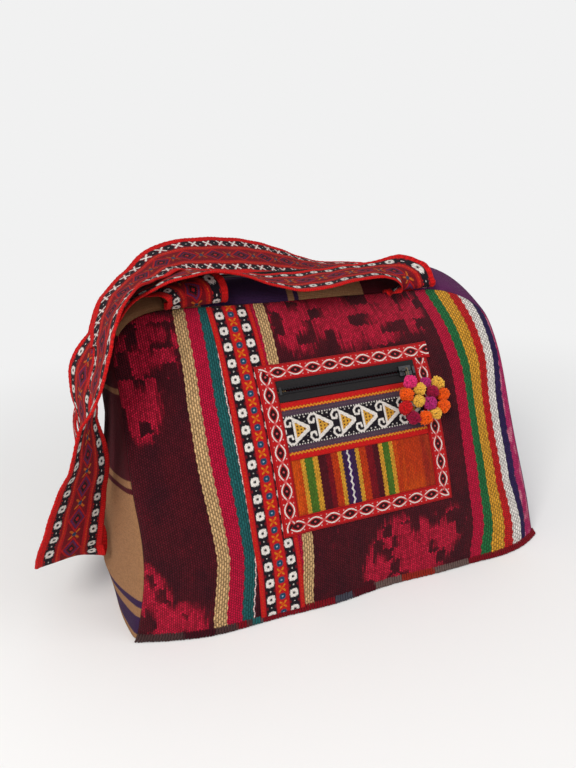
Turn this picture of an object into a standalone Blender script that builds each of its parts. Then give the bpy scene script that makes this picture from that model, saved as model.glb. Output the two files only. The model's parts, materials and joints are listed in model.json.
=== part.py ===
"""Woven boston bag with a zipped patch pocket, a zipped top and two long band handles.

Frame: metres. The origin is the middle of the underside of the base, +X runs along the bag,
+Y from the front to the back, +Z up. The front panel leans back, the handles lie over the top
and hang down at the -X end.
"""
import math

import bmesh
import bpy
import numpy as np
from mathutils import Matrix, Vector

# Body
PANEL_HEIGHT = 0.285            # front panel, measured along the cloth
LEAN_FOOT = math.radians(11.0)  # lean of the front panel at its foot
LEAN_GAIN = math.radians(38.4)  # further lean that it has gained at its top seam
LEAN_POWER = 1.7
PANEL_FOOT = 0.0012             # lift of the panels' lower edges above the ground
HALF_LENGTH_BASE = 0.205
HALF_LENGTH_WAIST = 0.189
WAIST_START = 0.11              # height along the cloth where the flare of the foot ends
SHOULDER_RADIUS = 0.055
BASE_DEPTH = 0.200
BACK_TOP_Y = 0.100
BACK_BULGE = 0.024
END_SETBACK = 0.018             # how far the panels' ends curve away from the middle
TOP_BULGE = 0.023
TOP_SLOPE = 0.0407              # the top sinks to the +X end by this much per metre
SLOPE_START = 0.222
GUSSET_BULGE = [(0.0, 0.012), (0.12, 0.026), (0.38, 0.023), (0.62, 0.012), (0.82, 0.010), (1.0, 0.020)]
CLOTH = 0.0024
SEAM_GAP = 0.0004
BASE_THICKNESS = 0.0024
BASE_CLEARANCE = 0.0009
GAP = 0.0003

# Trims on the front
BELT_CENTRE_X = -0.0777
BELT_WIDTH = 0.0405
BELT_THICKNESS = 0.0012
POCKET_LEFT = -0.070
POCKET_RIGHT = 0.100
POCKET_FOOT = 0.069             # heights along the cloth
POCKET_TOP = 0.221
TRIM_WIDTH = 0.016
TRIM_THICKNESS = 0.0014
HOOK_BAND_HEIGHT = 0.0513
BINDING_RADIUS = 0.0027
BINDING_HALF_HEIGHT = 0.0050
BINDING_STITCH = 0.0085
BINDING_STANDOFF = 0.0011

# Zips
POCKET_ZIP_WIDTH = 0.020
POCKET_SLIDER_X = 0.072
POCKET_TOOTH_PITCH = 0.0028
MAIN_ZIP_WIDTH = 0.024
MAIN_SLIDER_X = 0.118
MAIN_TOOTH_PITCH = 0.0034
TAPE_THICKNESS = 0.0010
SLIT = 0.0014                   # clear width between the two rows of teeth
PULL_LENGTH = 0.021
PULL_WIDTH = 0.0062
PULL_THICKNESS = 0.0009

# Handles
HANDLE_WIDTH = 0.058
HANDLE_THICKNESS = 0.0020
HANDLE_END_X = 0.108
HANDLE_SEAM_LIFT = 0.0036
HANDLE_STATIONS = 96

# Pompoms, each as across the slider, down from it, out from the cloth, radius and colour
POMPOMS = [
    (-0.0023, -0.0129, 0.0116, 0.0060, "pink"),
    (-0.0083, -0.0239, 0.0093, 0.0062, "orange"),
    (0.0054, -0.0212, 0.0114, 0.0054, "gold"),
    (-0.0121, -0.0354, 0.0085, 0.0060, "red"),
    (0.0018, -0.0315, 0.0106, 0.0052, "gold"),
    (-0.0063, -0.0456, 0.0085, 0.0058, "crimson"),
    (0.0054, -0.0478, 0.0085, 0.0062, "orange"),
    (0.0123, -0.0353, 0.0105, 0.0060, "purple"),
    (0.0166, -0.0455, 0.0087, 0.0052, "gold"),
    (0.0264, -0.0405, 0.0085, 0.0058, "orange"),
    (0.0288, -0.0292, 0.0085, 0.0058, "orange"),
    (0.0264, -0.0179, 0.0091, 0.0058, "gold"),
    (0.0179, -0.0252, 0.0112, 0.0056, "crimson"),
    (0.0135, -0.0159, 0.0101, 0.0050, "purple"),
]
BRIDGE_HEIGHT = 0.0060          # middle of the slider's bridge above the middle of the tape
CORD_RADIUS = 0.0006
CORD_LEG = 0.0085               # how far the cord reaches down from the bridge
CORD_BEND = 0.0019              # radius of the cord's turn round the bridge

# The handles' routes from their +X ends: x, y, z of the middle of the band, then the direction across it
BACK_HANDLE_START = [
    (0.1080, 0.1050, 0.2520, -1.00, 0.00, 0.00),
    (0.1075, 0.1110, 0.2580, -1.00, -0.05, 0.00),
    (0.0995, 0.1240, 0.2615, -0.71, -0.71, 0.00),
    (0.0790, 0.1310, 0.2630, -0.05, -1.00, -0.05),
    (0.0450, 0.1250, 0.2720, 0.00, -0.95, -0.28),
    (0.0050, 0.1110, 0.2880, 0.00, -0.87, -0.48),
    (-0.0350, 0.0930, 0.3010, 0.00, -0.80, -0.60),
    (-0.0760, 0.0760, 0.3040, 0.00, -0.79, -0.61),
    (-0.1100, 0.0660, 0.3085, 0.02, -0.93, -0.36),
    (-0.1435, 0.0430, 0.3070, 0.02, -0.98, -0.14),
    (-0.1665, 0.0180, 0.2970, 0.05, -0.99, -0.05),
    (-0.1820, 0.0000, 0.2850, 0.08, -0.99, 0.00),
    (-0.1930, -0.0180, 0.2690, 0.10, -0.98, 0.10),
    (-0.1990, -0.0380, 0.2480, 0.16, -0.96, 0.20),
    (-0.2060, -0.0510, 0.2270, 0.10, -0.97, 0.20),
    (-0.2140, -0.0510, 0.2070, 0.00, -0.98, 0.15),
    (-0.2205, -0.0480, 0.1890, -0.12, -0.99, 0.10),
    (-0.2240, -0.0470, 0.1660, -0.38, -0.92, 0.10),
    (-0.2265, -0.0420, 0.1415, -0.70, -0.70, 0.08),
    (-0.2345, -0.0350, 0.1120, -0.93, -0.35, 0.05),
    (-0.2435, -0.0280, 0.0850, -0.98, 0.10, 0.05),
    (-0.2485, -0.0200, 0.0705, -0.88, 0.46, 0.08),
    (-0.2465, -0.0130, 0.0640, -0.86, 0.50, 0.08),
    (-0.2435, -0.0060, 0.0695, -0.84, 0.54, 0.04),
    (-0.2430, 0.0100, 0.0830, -0.55, 0.80, -0.20),
    (-0.2390, 0.0400, 0.1030, -0.16, 0.93, -0.30),
    (-0.2360, 0.0680, 0.1270, -0.03, 0.96, -0.28),
    (-0.2330, 0.0890, 0.1570, 0.00, 0.99, -0.12),
]
BACK_HANDLE_END = [
    (-0.1400, 0.1290, 0.2720, 0.05, 1.00, -0.12),
    (-0.1165, 0.1225, 0.2640, 0.71, 0.71, 0.00),
    (-0.1085, 0.1110, 0.2610, 1.00, 0.05, 0.00),
    (-0.1080, 0.1050, 0.2570, 1.00, 0.00, 0.00),
]
FRONT_HANDLE_START = [
    (0.1080, 0.0140, 0.2560, 1.00, 0.00, 0.00),
    (0.1060, 0.0170, 0.2640, 0.93, 0.20, 0.30),
    (0.0990, 0.0220, 0.2710, 0.70, 0.42, 0.58),
    (0.0790, 0.0250, 0.2760, 0.10, 0.72, 0.69),
    (0.0500, 0.0235, 0.2770, 0.00, 0.93, 0.38),
    (0.0000, 0.0210, 0.2755, 0.00, 0.98, 0.20),
    (-0.0400, 0.0180, 0.2800, 0.00, 0.99, 0.05),
    (-0.0760, 0.0140, 0.2900, 0.00, 0.98, -0.17),
    (-0.1080, 0.0135, 0.2925, 0.00, 1.00, -0.05),
    (-0.1350, 0.0145, 0.2935, 0.00, 1.00, 0.00),
    (-0.1600, 0.0150, 0.2860, 0.00, 1.00, 0.00),
    (-0.1790, 0.0140, 0.2740, 0.00, 1.00, 0.00),
    (-0.1930, 0.0130, 0.2570, -0.08, 1.00, 0.00),
]
HANDLE_TURN = (-0.2205, 0.0440, 0.1500, 0.0310)     # centre of the front handle's flat turn, then its radius
FRONT_HANDLE_END = [
    (-0.1530, 0.0440, 0.2850, -0.48, -0.82, -0.30),
    (-0.1300, 0.0290, 0.2835, -0.82, -0.50, -0.27),
    (-0.1140, 0.0130, 0.2765, -0.98, -0.15, -0.10),
    (-0.1085, 0.0090, 0.2665, -1.00, 0.00, 0.00),
]
# The parts of them that follow the -X gusset: height up it, share of its depth, lift, sense, tilt
BACK_HANDLE_RISE = [
    (0.1950, 0.88, 0.0185, 1.0, -0.04),
    (0.2250, 0.94, 0.0215, 1.0, -0.10),
    (0.2550, 1.02, 0.0290, 1.0, -0.18),
    (0.2730, 1.15, 0.0310, 1.0, -0.25),
]
FRONT_HANDLE_FALL = [
    (0.2250, 0.20, 0.0110, 1.0, 0.15),
    (0.1950, 0.28, 0.0090, 1.0, 0.08),
]
FRONT_HANDLE_RISE = [
    (0.1950, 0.73, 0.0070, -1.0, 0.06),
    (0.2280, 0.67, 0.0062, -1.0, 0.06),
    (0.2550, 0.60, 0.0060, -1.0, 0.04),
    (0.2740, 0.52, 0.0070, -1.0, 0.0),
]

# Colours
MAROON = (0.060, 0.012, 0.018)
RED = (0.420, 0.012, 0.016)
CRIMSON = (0.300, 0.010, 0.040)
BLACK = (0.012, 0.011, 0.013)
TAN = (0.420, 0.280, 0.150)
PURPLE = (0.075, 0.030, 0.130)
ORANGE = (0.720, 0.130, 0.015)
GOLD = (0.680, 0.400, 0.060)
PINK = (0.720, 0.060, 0.220)
METAL = (0.250, 0.250, 0.240)
BALL_COLOURS = {"pink": PINK, "orange": ORANGE, "gold": GOLD, "red": RED, "crimson": CRIMSON, "purple": PURPLE}


def clear_scene():
    for old in list(bpy.data.objects):
        bpy.data.objects.remove(old, do_unlink=True)


def surface_material(name, colour, roughness=0.9, metallic=0.0):
    made = bpy.data.materials.new(name)
    made.use_nodes = True
    shader = made.node_tree.nodes["Principled BSDF"]
    shader.inputs["Base Color"].default_value = (*colour, 1.0)
    shader.inputs["Roughness"].default_value = roughness
    shader.inputs["Metallic"].default_value = metallic
    made.diffuse_color = (*colour, 1.0)
    return made


def add_solid(name, vertices, faces, colour, roughness=0.9, metallic=0.0, smooth=True):
    mesh = bpy.data.meshes.new(name)
    mesh.from_pydata([tuple(float(value) for value in vertex) for vertex in vertices], [], faces)
    work = bmesh.new()
    work.from_mesh(mesh)
    bmesh.ops.recalc_face_normals(work, faces=work.faces)
    if work.calc_volume(signed=True) < 0.0:
        bmesh.ops.reverse_faces(work, faces=work.faces)
    work.to_mesh(mesh)
    work.free()
    made = bpy.data.objects.new(name, mesh)
    bpy.context.scene.collection.objects.link(made)
    mesh.materials.append(surface_material(name, colour, roughness, metallic))
    if smooth:
        mesh.shade_smooth()
        mesh.set_sharp_from_angle(angle=math.radians(40.0))
    return made


def place(made, matrix, parent=None):
    made.matrix_world = matrix
    if parent is not None:
        made.parent = parent
        made.matrix_parent_inverse = parent.matrix_world.inverted()
    return made


def smooth_step(low, high, value):
    share = np.clip((value - low) / (high - low), 0.0, 1.0)
    return share * share * (3.0 - 2.0 * share)


def unit(vectors):
    vectors = np.asarray(vectors, float)
    return vectors / np.linalg.norm(vectors, axis=-1, keepdims=True)


# The front panel's profile, integrated from its lean

PROFILE_STEPS = 400
PROFILE_S = np.linspace(0.0, PANEL_HEIGHT, PROFILE_STEPS + 1)
LEAN = LEAN_FOOT + LEAN_GAIN * (PROFILE_S / PANEL_HEIGHT) ** LEAN_POWER
STEP = PANEL_HEIGHT / PROFILE_STEPS
PROFILE_Y = np.concatenate([[0.0], np.cumsum(np.sin(LEAN[:-1]) * STEP)])
PROFILE_Z = np.concatenate([[0.0], np.cumsum(np.cos(LEAN[:-1]) * STEP)])
TOP_Z = PROFILE_Z[-1] + PANEL_FOOT
HALF_LENGTH_TOP = HALF_LENGTH_WAIST - SHOULDER_RADIUS


def half_length(s):
    """Half of the panels' length at the height s along the cloth."""
    flare = np.clip(1.0 - s / WAIST_START, 0.0, 1.0)
    value = HALF_LENGTH_WAIST + (HALF_LENGTH_BASE - HALF_LENGTH_WAIST) * flare ** 2
    rise = np.clip(s - (PANEL_HEIGHT - SHOULDER_RADIUS), 0.0, SHOULDER_RADIUS)
    return value - SHOULDER_RADIUS + np.sqrt(SHOULDER_RADIUS ** 2 - rise ** 2)


def setback(x):
    past = np.clip((np.abs(x) - HALF_LENGTH_TOP) / (HALF_LENGTH_BASE - HALF_LENGTH_TOP), 0.0, None)
    return END_SETBACK * past ** 2


def sink(x, s):
    """How far the top of the bag sinks towards its +X end."""
    return TOP_SLOPE * x * smooth_step(SLOPE_START, PANEL_HEIGHT, s)


def front_point(x, s):
    y = -BASE_DEPTH / 2 + np.interp(s, PROFILE_S, PROFILE_Y) + setback(x)
    z = PANEL_FOOT + np.interp(s, PROFILE_S, PROFILE_Z) - sink(x, s)
    return np.stack([x + 0.0 * s, y + 0.0 * x, z + 0.0 * x], axis=-1)


def front_normal(x, s):
    small = 0.0005
    along = front_point(x + small, s) - front_point(x - small, s)
    up = front_point(x, np.minimum(s + small, PANEL_HEIGHT)) - front_point(x, np.maximum(s - small, 0.0))
    return unit(np.cross(along, up))


def on_front(x, s, height):
    x = np.asarray(x, float)
    s = np.asarray(s, float)
    return front_point(x, s) + front_normal(x, s) * np.asarray(height, float)[..., None]


def back_point(x, s):
    share = s / PANEL_HEIGHT
    y = BASE_DEPTH / 2 + (BACK_TOP_Y - BASE_DEPTH / 2) * share
    y = y + BACK_BULGE * np.clip(np.sin(math.pi * share), 0.0, 1.0) ** 1.6 - setback(x)
    z = PANEL_FOOT + (TOP_Z - PANEL_FOOT) * share - sink(x, s)
    return np.stack([x + 0.0 * s, y + 0.0 * x, z + 0.0 * x], axis=-1)


def gusset_bulge(share):
    places = [row[0] for row in GUSSET_BULGE]
    sizes = [row[1] for row in GUSSET_BULGE]
    return np.interp(share, places, sizes)


# The skin of the bag as grids of points that share their edges

SIDE_ROWS = 12
SHOULDER_ROWS = 6
PANEL_COLUMNS = 22
GUSSET_COLUMNS = 10
TOP_COLUMNS = 4


def row_heights():
    straight = np.linspace(0.0, PANEL_HEIGHT - SHOULDER_RADIUS, SIDE_ROWS + 1)
    angles = np.linspace(0.0, math.pi / 2, SHOULDER_ROWS + 1)[1:]
    return np.concatenate([straight, PANEL_HEIGHT - SHOULDER_RADIUS + SHOULDER_RADIUS * np.sin(angles)])


def panel_grid(point_function):
    heights = row_heights()
    shares = np.linspace(-1.0, 1.0, PANEL_COLUMNS + 1)
    x = half_length(heights)[:, None] * shares[None, :]
    s = np.repeat(heights[:, None], PANEL_COLUMNS + 1, axis=1)
    return point_function(x, s)


def outward_directions(side):
    """For each row of a panel's end, the direction in which its gusset bulges."""
    heights = row_heights()
    rise = np.clip((heights - (PANEL_HEIGHT - SHOULDER_RADIUS)) / SHOULDER_RADIUS, 0.0, 1.0)
    angle = np.arcsin(rise)
    return np.stack([side * np.cos(angle), 0.0 * angle, np.sin(angle)], axis=-1)


def gusset_grid(side):
    heights = row_heights()
    x = side * half_length(heights)
    front = front_point(x, heights)
    back = back_point(x, heights)
    outward = outward_directions(side)
    bulge = gusset_bulge(heights / PANEL_HEIGHT)
    share = np.linspace(0.0, 1.0, GUSSET_COLUMNS + 1)
    line = front[:, None, :] * (1.0 - share)[None, :, None] + back[:, None, :] * share[None, :, None]
    hump = 4.0 * share * (1.0 - share)
    return line + (bulge[:, None] * hump[None, :])[..., None] * outward[:, None, :]


def top_point(x, share):
    x = np.asarray(x, float)
    s = np.full(x.shape, PANEL_HEIGHT)
    front = front_point(x, s)
    back = back_point(x, s)
    point = front * (1.0 - share)[..., None] + back * share[..., None]
    point[..., 2] += TOP_BULGE * 4.0 * share * (1.0 - share)
    return point


def top_depth():
    return BACK_TOP_Y - (PROFILE_Y[-1] - BASE_DEPTH / 2)


def top_grid(low, high):
    x = np.linspace(-HALF_LENGTH_TOP, HALF_LENGTH_TOP, PANEL_COLUMNS + 1)
    share = np.linspace(low, high, TOP_COLUMNS + 1)
    return top_point(np.repeat(x[None, :], TOP_COLUMNS + 1, 0), np.repeat(share[:, None], PANEL_COLUMNS + 1, 1))


def grid_faces(rows, columns):
    faces = []
    for row in range(rows - 1):
        for column in range(columns - 1):
            start = row * columns + column
            faces.append((start, start + 1, start + columns + 1, start + columns))
    return faces


def grid_normals(grid, toward):
    along = np.gradient(grid, axis=1)
    across = np.gradient(grid, axis=0)
    normals = unit(np.cross(along, across))
    middle = tuple(size // 2 for size in grid.shape[:2])
    if np.dot(normals[middle], toward) < 0.0:
        normals = -normals
    return normals


def shell_from_grids(name, outer, inner, colour, **finish):
    """Close two grids of the same size into one sheet of cloth."""
    rows, columns = outer.shape[:2]
    count = rows * columns
    vertices = np.concatenate([outer.reshape(-1, 3), inner.reshape(-1, 3)])
    faces = grid_faces(rows, columns)
    faces += [tuple(index + count for index in reversed(face)) for face in grid_faces(rows, columns)]
    rim = [column for column in range(columns)]
    rim += [row * columns + columns - 1 for row in range(1, rows)]
    rim += [(rows - 1) * columns + column for column in range(columns - 2, -1, -1)]
    rim += [row * columns for row in range(rows - 2, 0, -1)]
    for index, start in enumerate(rim):
        end = rim[(index + 1) % len(rim)]
        faces.append((end, start, start + count, end + count))
    return add_solid(name, vertices, faces, colour, **finish)


def draw_in_edges(grid, edges, distance):
    """Move the named edges of a grid towards its inside."""
    moved = grid.copy()
    sides = {"foot": (0, 1, 0), "head": (-1, -2, 0), "left": (0, 1, 1), "right": (-1, -2, 1)}
    for edge in edges:
        line, inside, axis = sides[edge]
        here = np.take(grid, line, axis=axis)
        shift = unit(np.take(grid, inside, axis=axis) - here) * distance
        if axis == 0:
            moved[line] += shift
        else:
            moved[:, line] += shift
    return moved


def key_of(point):
    return tuple(int(round(value * 1e6)) for value in point)


def make_body():
    zip_share = MAIN_ZIP_WIDTH / 2 / top_depth()
    grids = {
        "front_panel": (panel_grid(front_point), (0.0, -1.0, 0.2), MAROON, ("head", "left", "right")),
        "back_panel": (panel_grid(back_point), (0.0, 1.0, 0.0), MAROON, ("head", "left", "right")),
        "left_gusset": (gusset_grid(-1.0), (-1.0, 0.0, 0.0), TAN, ("head", "left", "right")),
        "right_gusset": (gusset_grid(1.0), (1.0, 0.0, 0.0), PURPLE, ("head", "left", "right")),
        "top_strip_front": (top_grid(0.0, 0.5 - zip_share), (0.0, 0.0, 1.0), MAROON,
                            ("foot", "head", "left", "right")),
        "top_strip_back": (top_grid(0.5 + zip_share, 1.0), (0.0, 0.0, 1.0), MAROON,
                           ("foot", "head", "left", "right")),
    }
    normals = {}
    shared = {}
    for name, (grid, toward, _, _) in grids.items():
        normals[name] = grid_normals(grid, toward)
        for point, normal in zip(grid.reshape(-1, 3), normals[name].reshape(-1, 3)):
            shared.setdefault(key_of(point), []).append(normal)
    rim_points = {}
    for name, (grid, _, colour, edges) in grids.items():
        mitre = np.array([unit(np.sum(shared[key_of(point)], axis=0)) for point in grid.reshape(-1, 3)])
        mitre = mitre.reshape(grid.shape)
        depth = CLOTH / np.clip(np.sum(mitre * normals[name], axis=-1), 0.6, 1.0)
        outer = draw_in_edges(grid, edges, SEAM_GAP / 2)
        inner = draw_in_edges(grid - mitre * depth[..., None], edges, SEAM_GAP / 2)
        shell_from_grids(name, outer, inner, colour)
        rim_points[name] = (grid[0], mitre[0])
    return rim_points


def make_base(rim_points):
    """A flat panel that fits inside the lower edges of the four walls."""
    outline = []
    order = [("front_panel", 1), ("right_gusset", 1), ("back_panel", -1), ("left_gusset", -1)]
    for name, direction in order:
        points, normals = rim_points[name]
        for point, normal in list(zip(points, normals))[::direction][:-1]:
            flat = unit(np.array([normal[0], normal[1]]))
            inset = CLOTH + BASE_CLEARANCE
            outline.append((point[0] - flat[0] * inset, point[1] - flat[1] * inset))
    count = len(outline)
    vertices = [(x, y, 0.0) for x, y in outline] + [(x, y, BASE_THICKNESS) for x, y in outline]
    faces = [tuple(range(count)), tuple(range(2 * count - 1, count - 1, -1))]
    faces += [(index, (index + 1) % count, (index + 1) % count + count, index + count) for index in range(count)]
    add_solid("base_panel", vertices, faces, MAROON, smooth=False)


def make_edge_binding(name, rim, colour):
    """A roll of overcast yarn along the lower edge of a panel, thicker at each stitch."""
    points, normals = rim
    lengths = np.concatenate([[0.0], np.cumsum(np.linalg.norm(np.diff(points, axis=0), axis=1))])
    stations = int(lengths[-1] / (BINDING_STITCH / 2))
    sides = 6
    vertices = []
    for index in range(stations + 1):
        length = 0.002 + (lengths[-1] - 0.004) * index / stations
        point = np.array([np.interp(length, lengths, points[:, axis]) for axis in range(3)])
        normal = np.array([np.interp(length, lengths, normals[:, axis]) for axis in range(3)])
        normal[2] = 0.0
        normal = unit(normal)
        size = 1.0 if index % 2 else 0.8
        centre = point + normal * (BINDING_RADIUS + BINDING_STANDOFF)
        centre[2] = GAP + BINDING_HALF_HEIGHT
        for side in range(sides):
            angle = 2.0 * math.pi * (side + 0.5) / sides
            out = normal * (BINDING_RADIUS * size * math.cos(angle))
            vertices.append(centre + out + np.array([0.0, 0.0, BINDING_HALF_HEIGHT * size * math.sin(angle)]))
    faces = [tuple(range(sides)), tuple(stations * sides + side for side in reversed(range(sides)))]
    for index in range(stations):
        for side in range(sides):
            here = index * sides
            after = (side + 1) % sides
            faces.append((here + side, here + after, here + sides + after, here + sides + side))
    add_solid(name, vertices, faces, colour)


# Trims on the front panel

def belt_top(x):
    """Height over the panel of whatever lies under the pocket at x."""
    edge = BELT_CENTRE_X + BELT_WIDTH / 2
    return (BELT_THICKNESS + GAP) * (1.0 - smooth_step(edge + 0.002, edge + 0.010, x))


def front_patch(name, x_values, s_values, low, high, colour, **finish):
    x, s = np.meshgrid(x_values, s_values)
    low_grid = on_front(x, s, low(x, s) if callable(low) else low + 0.0 * x)
    high_grid = on_front(x, s, high(x, s) if callable(high) else high + 0.0 * x)
    return shell_from_grids(name, high_grid, low_grid, colour, **finish)


def make_belt():
    left = BELT_CENTRE_X - BELT_WIDTH / 2
    x_values = np.linspace(left, left + BELT_WIDTH, 5)
    heights = row_heights()
    s_values = np.concatenate([[0.002], heights[1:-1], [PANEL_HEIGHT - 0.002]])
    front_patch("belt_band", x_values, s_values, GAP, GAP + BELT_THICKNESS, RED)


POCKET_FLOOR = BELT_THICKNESS + 2.0 * GAP


def trim_floor(x, s):
    """The trim drops to the panel at its outer edge, and rides over the belt band."""
    from_edge = np.minimum(np.minimum(POCKET_RIGHT - x, s - POCKET_FOOT), POCKET_TOP - s)
    lift = POCKET_FLOOR * smooth_step(0.002, TRIM_WIDTH, from_edge)
    return np.maximum(np.maximum(lift, belt_top(x) + GAP), GAP)


def make_pocket_trim():
    """One ribbon folded round the four sides of the pocket: a frame with a rectangular window."""
    inner_left = POCKET_LEFT + TRIM_WIDTH
    inner_right = POCKET_RIGHT - TRIM_WIDTH
    x_values = np.concatenate([
        np.linspace(POCKET_LEFT, inner_left, 4), np.linspace(inner_left, inner_right, 12)[1:],
        np.linspace(inner_right, POCKET_RIGHT, 4)[1:]])
    s_values = np.concatenate([
        np.linspace(POCKET_FOOT, POCKET_FOOT + TRIM_WIDTH, 4),
        np.linspace(POCKET_FOOT + TRIM_WIDTH, POCKET_TOP - TRIM_WIDTH, 10)[1:],
        np.linspace(POCKET_TOP - TRIM_WIDTH, POCKET_TOP, 4)[1:]])
    x, s = np.meshgrid(x_values, s_values)
    floor = trim_floor(x, s)
    low = on_front(x, s, floor).reshape(-1, 3)
    high = on_front(x, s, floor + TRIM_THICKNESS).reshape(-1, 3)
    rows, columns = x.shape
    keep = []
    for row in range(rows - 1):
        for column in range(columns - 1):
            middle_x = (x_values[column] + x_values[column + 1]) / 2
            middle_s = (s_values[row] + s_values[row + 1]) / 2
            inside = inner_left < middle_x < inner_right
            inside = inside and POCKET_FOOT + TRIM_WIDTH < middle_s < POCKET_TOP - TRIM_WIDTH
            if not inside:
                start = row * columns + column
                keep.append((start, start + 1, start + columns + 1, start + columns))
    used = sorted({index for face in keep for index in face})
    order = {old: new for new, old in enumerate(used)}
    count = len(used)
    vertices = [high[index] for index in used] + [low[index] for index in used]
    faces = [tuple(order[index] for index in face) for face in keep]
    edges = {}
    for face in faces:
        for index, start in enumerate(face):
            edges[(start, face[(index + 1) % 4])] = True
    walls = [(end, start, start + count, end + count) for start, end in edges if (end, start) not in edges]
    faces = faces + [tuple(index + count for index in reversed(face)) for face in faces] + walls
    add_solid("pocket_trim", vertices, faces, RED)


def window_spans():
    """The edges, up the window, of the striped cloth, the hook band and the zip."""
    foot = POCKET_FOOT + TRIM_WIDTH
    head = POCKET_TOP - TRIM_WIDTH
    zip_foot = head - POCKET_ZIP_WIDTH
    band_foot = zip_foot - HOOK_BAND_HEIGHT
    return foot, band_foot, zip_foot, head


def make_pocket_cloths():
    foot, band_foot, zip_foot, _ = window_spans()
    x_values = np.linspace(POCKET_LEFT + TRIM_WIDTH + GAP, POCKET_RIGHT - TRIM_WIDTH - GAP, 11)
    low = POCKET_FLOOR
    high = POCKET_FLOOR + TRIM_THICKNESS
    spans = [("pocket_stripe_cloth", foot + GAP, band_foot - GAP / 2, ORANGE),
             ("pocket_hook_band", band_foot + GAP / 2, zip_foot - GAP / 2, BLACK)]
    for name, start, end, colour in spans:
        front_patch(name, x_values, np.linspace(start, end, 6), low, high, colour)


# Zips, made in a frame of their own: x along the teeth, y across, z out of the cloth

def box_parts(low, high):
    vertices = [(x, y, z) for x in (low[0], high[0]) for y in (low[1], high[1]) for z in (low[2], high[2])]
    faces = [(0, 1, 3, 2), (4, 6, 7, 5), (0, 4, 5, 1), (2, 3, 7, 6), (0, 2, 6, 4), (1, 5, 7, 3)]
    return vertices, faces


def extrude_outline(outline, low, high, axis):
    """A prism on a closed outline; axis is the one that it is extruded along."""
    count = len(outline)
    vertices = []
    for level in (low, high):
        for first, second in outline:
            point = [first, second]
            point.insert(axis, level)
            vertices.append(tuple(point))
    faces = [tuple(range(count)), tuple(reversed(range(count, 2 * count)))]
    faces += [(index, (index + 1) % count, (index + 1) % count + count, index + count) for index in range(count)]
    return vertices, faces


def make_tape(name, matrix, start, end, side, half_width):
    low, high = sorted((side * (SLIT / 2 + 0.0002), side * half_width))
    vertices, faces = box_parts((start, low, -TAPE_THICKNESS / 2), (end, high, TAPE_THICKNESS / 2))
    place(add_solid(name, vertices, faces, BLACK, smooth=False), matrix)


def make_teeth(name, matrix, start, end, side, pitch):
    """A row of teeth along the edge of its tape, as one comb."""
    spine = SLIT / 2 + 0.0020
    root = SLIT / 2 + 0.0011
    tip = SLIT / 2
    count = int((end - start) / pitch)
    shift = 0.0 if side > 0 else 0.5
    outline = [(start, side * spine), (start, side * root)]
    for index in range(count):
        left = start + (index + 0.15 + 0.5 * shift) * pitch
        right = left + 0.5 * pitch
        outline += [(left, side * root), (left + 0.08 * pitch, side * tip),
                    (right - 0.08 * pitch, side * tip), (right, side * root)]
    outline += [(end, side * root), (end, side * spine)]
    low = TAPE_THICKNESS / 2 + 0.0002
    vertices, faces = extrude_outline(outline, low, low + 0.0011, 2)
    place(add_solid(name, vertices, faces, BLACK, roughness=0.5, smooth=False), matrix)


SLIDER_HALF_LENGTH = 0.0062
SLIDER_HALF_WIDTH = 0.0046
SLIDER_PLATE = 0.0010
SLIDER_FLOOR = TAPE_THICKNESS / 2 + 0.0017
POST_HALF_WIDTH = 0.0004
BRIDGE_HALF = 0.0007
PULL_PIVOT = (SLIDER_FLOOR + SLIDER_PLATE + BRIDGE_HEIGHT - BRIDGE_HALF) / 2


def make_slider(name, matrix):
    """Two plates joined by a post that runs in the slit, with a bridge over the upper one."""
    top = SLIDER_FLOOR + SLIDER_PLATE
    under = -TAPE_THICKNESS / 2 - 0.0006
    lip = TAPE_THICKNESS / 2 + 0.0006
    outline = [(-POST_HALF_WIDTH, under), (-SLIDER_HALF_WIDTH + 0.0008, under),
               (-SLIDER_HALF_WIDTH + 0.0008, under - SLIDER_PLATE), (SLIDER_HALF_WIDTH - 0.0008, under - SLIDER_PLATE),
               (SLIDER_HALF_WIDTH - 0.0008, under), (POST_HALF_WIDTH, under), (POST_HALF_WIDTH, SLIDER_FLOOR),
               (SLIDER_HALF_WIDTH - 0.0008, SLIDER_FLOOR), (SLIDER_HALF_WIDTH - 0.0008, lip),
               (SLIDER_HALF_WIDTH, lip), (SLIDER_HALF_WIDTH, top), (-SLIDER_HALF_WIDTH, top),
               (-SLIDER_HALF_WIDTH, lip), (-SLIDER_HALF_WIDTH + 0.0008, lip),
               (-SLIDER_HALF_WIDTH + 0.0008, SLIDER_FLOOR), (-POST_HALF_WIDTH, SLIDER_FLOOR)]
    vertices, faces = extrude_outline(outline, -SLIDER_HALF_LENGTH, SLIDER_HALF_LENGTH, 0)
    slider = place(add_solid(name, vertices, faces, METAL, 0.35, 1.0, smooth=False), matrix)
    reach = 0.0048
    bar = BRIDGE_HEIGHT + 0.0007
    foot = top - 0.0003
    arch = [(-reach, foot), (-reach, bar - 0.0012), (-reach + 0.0012, bar), (reach - 0.0012, bar),
            (reach, bar - 0.0012), (reach, foot), (reach - 0.0014, foot), (reach - 0.0014, bar - 0.0017),
            (reach - 0.0017, bar - 0.0014), (-reach + 0.0017, bar - 0.0014),
            (-reach + 0.0014, bar - 0.0017), (-reach + 0.0014, foot)]
    vertices, faces = extrude_outline(arch, -0.0007, 0.0007, 1)
    bridge = place(add_solid(name + "_bridge_shape", vertices, faces, METAL, 0.35, 1.0, smooth=False), matrix)
    bridge.hide_render = True
    bridge.display_type = 'WIRE'
    union = slider.modifiers.new("bridge", 'BOOLEAN')
    union.operation = 'UNION'
    union.object = bridge
    return slider


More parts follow.
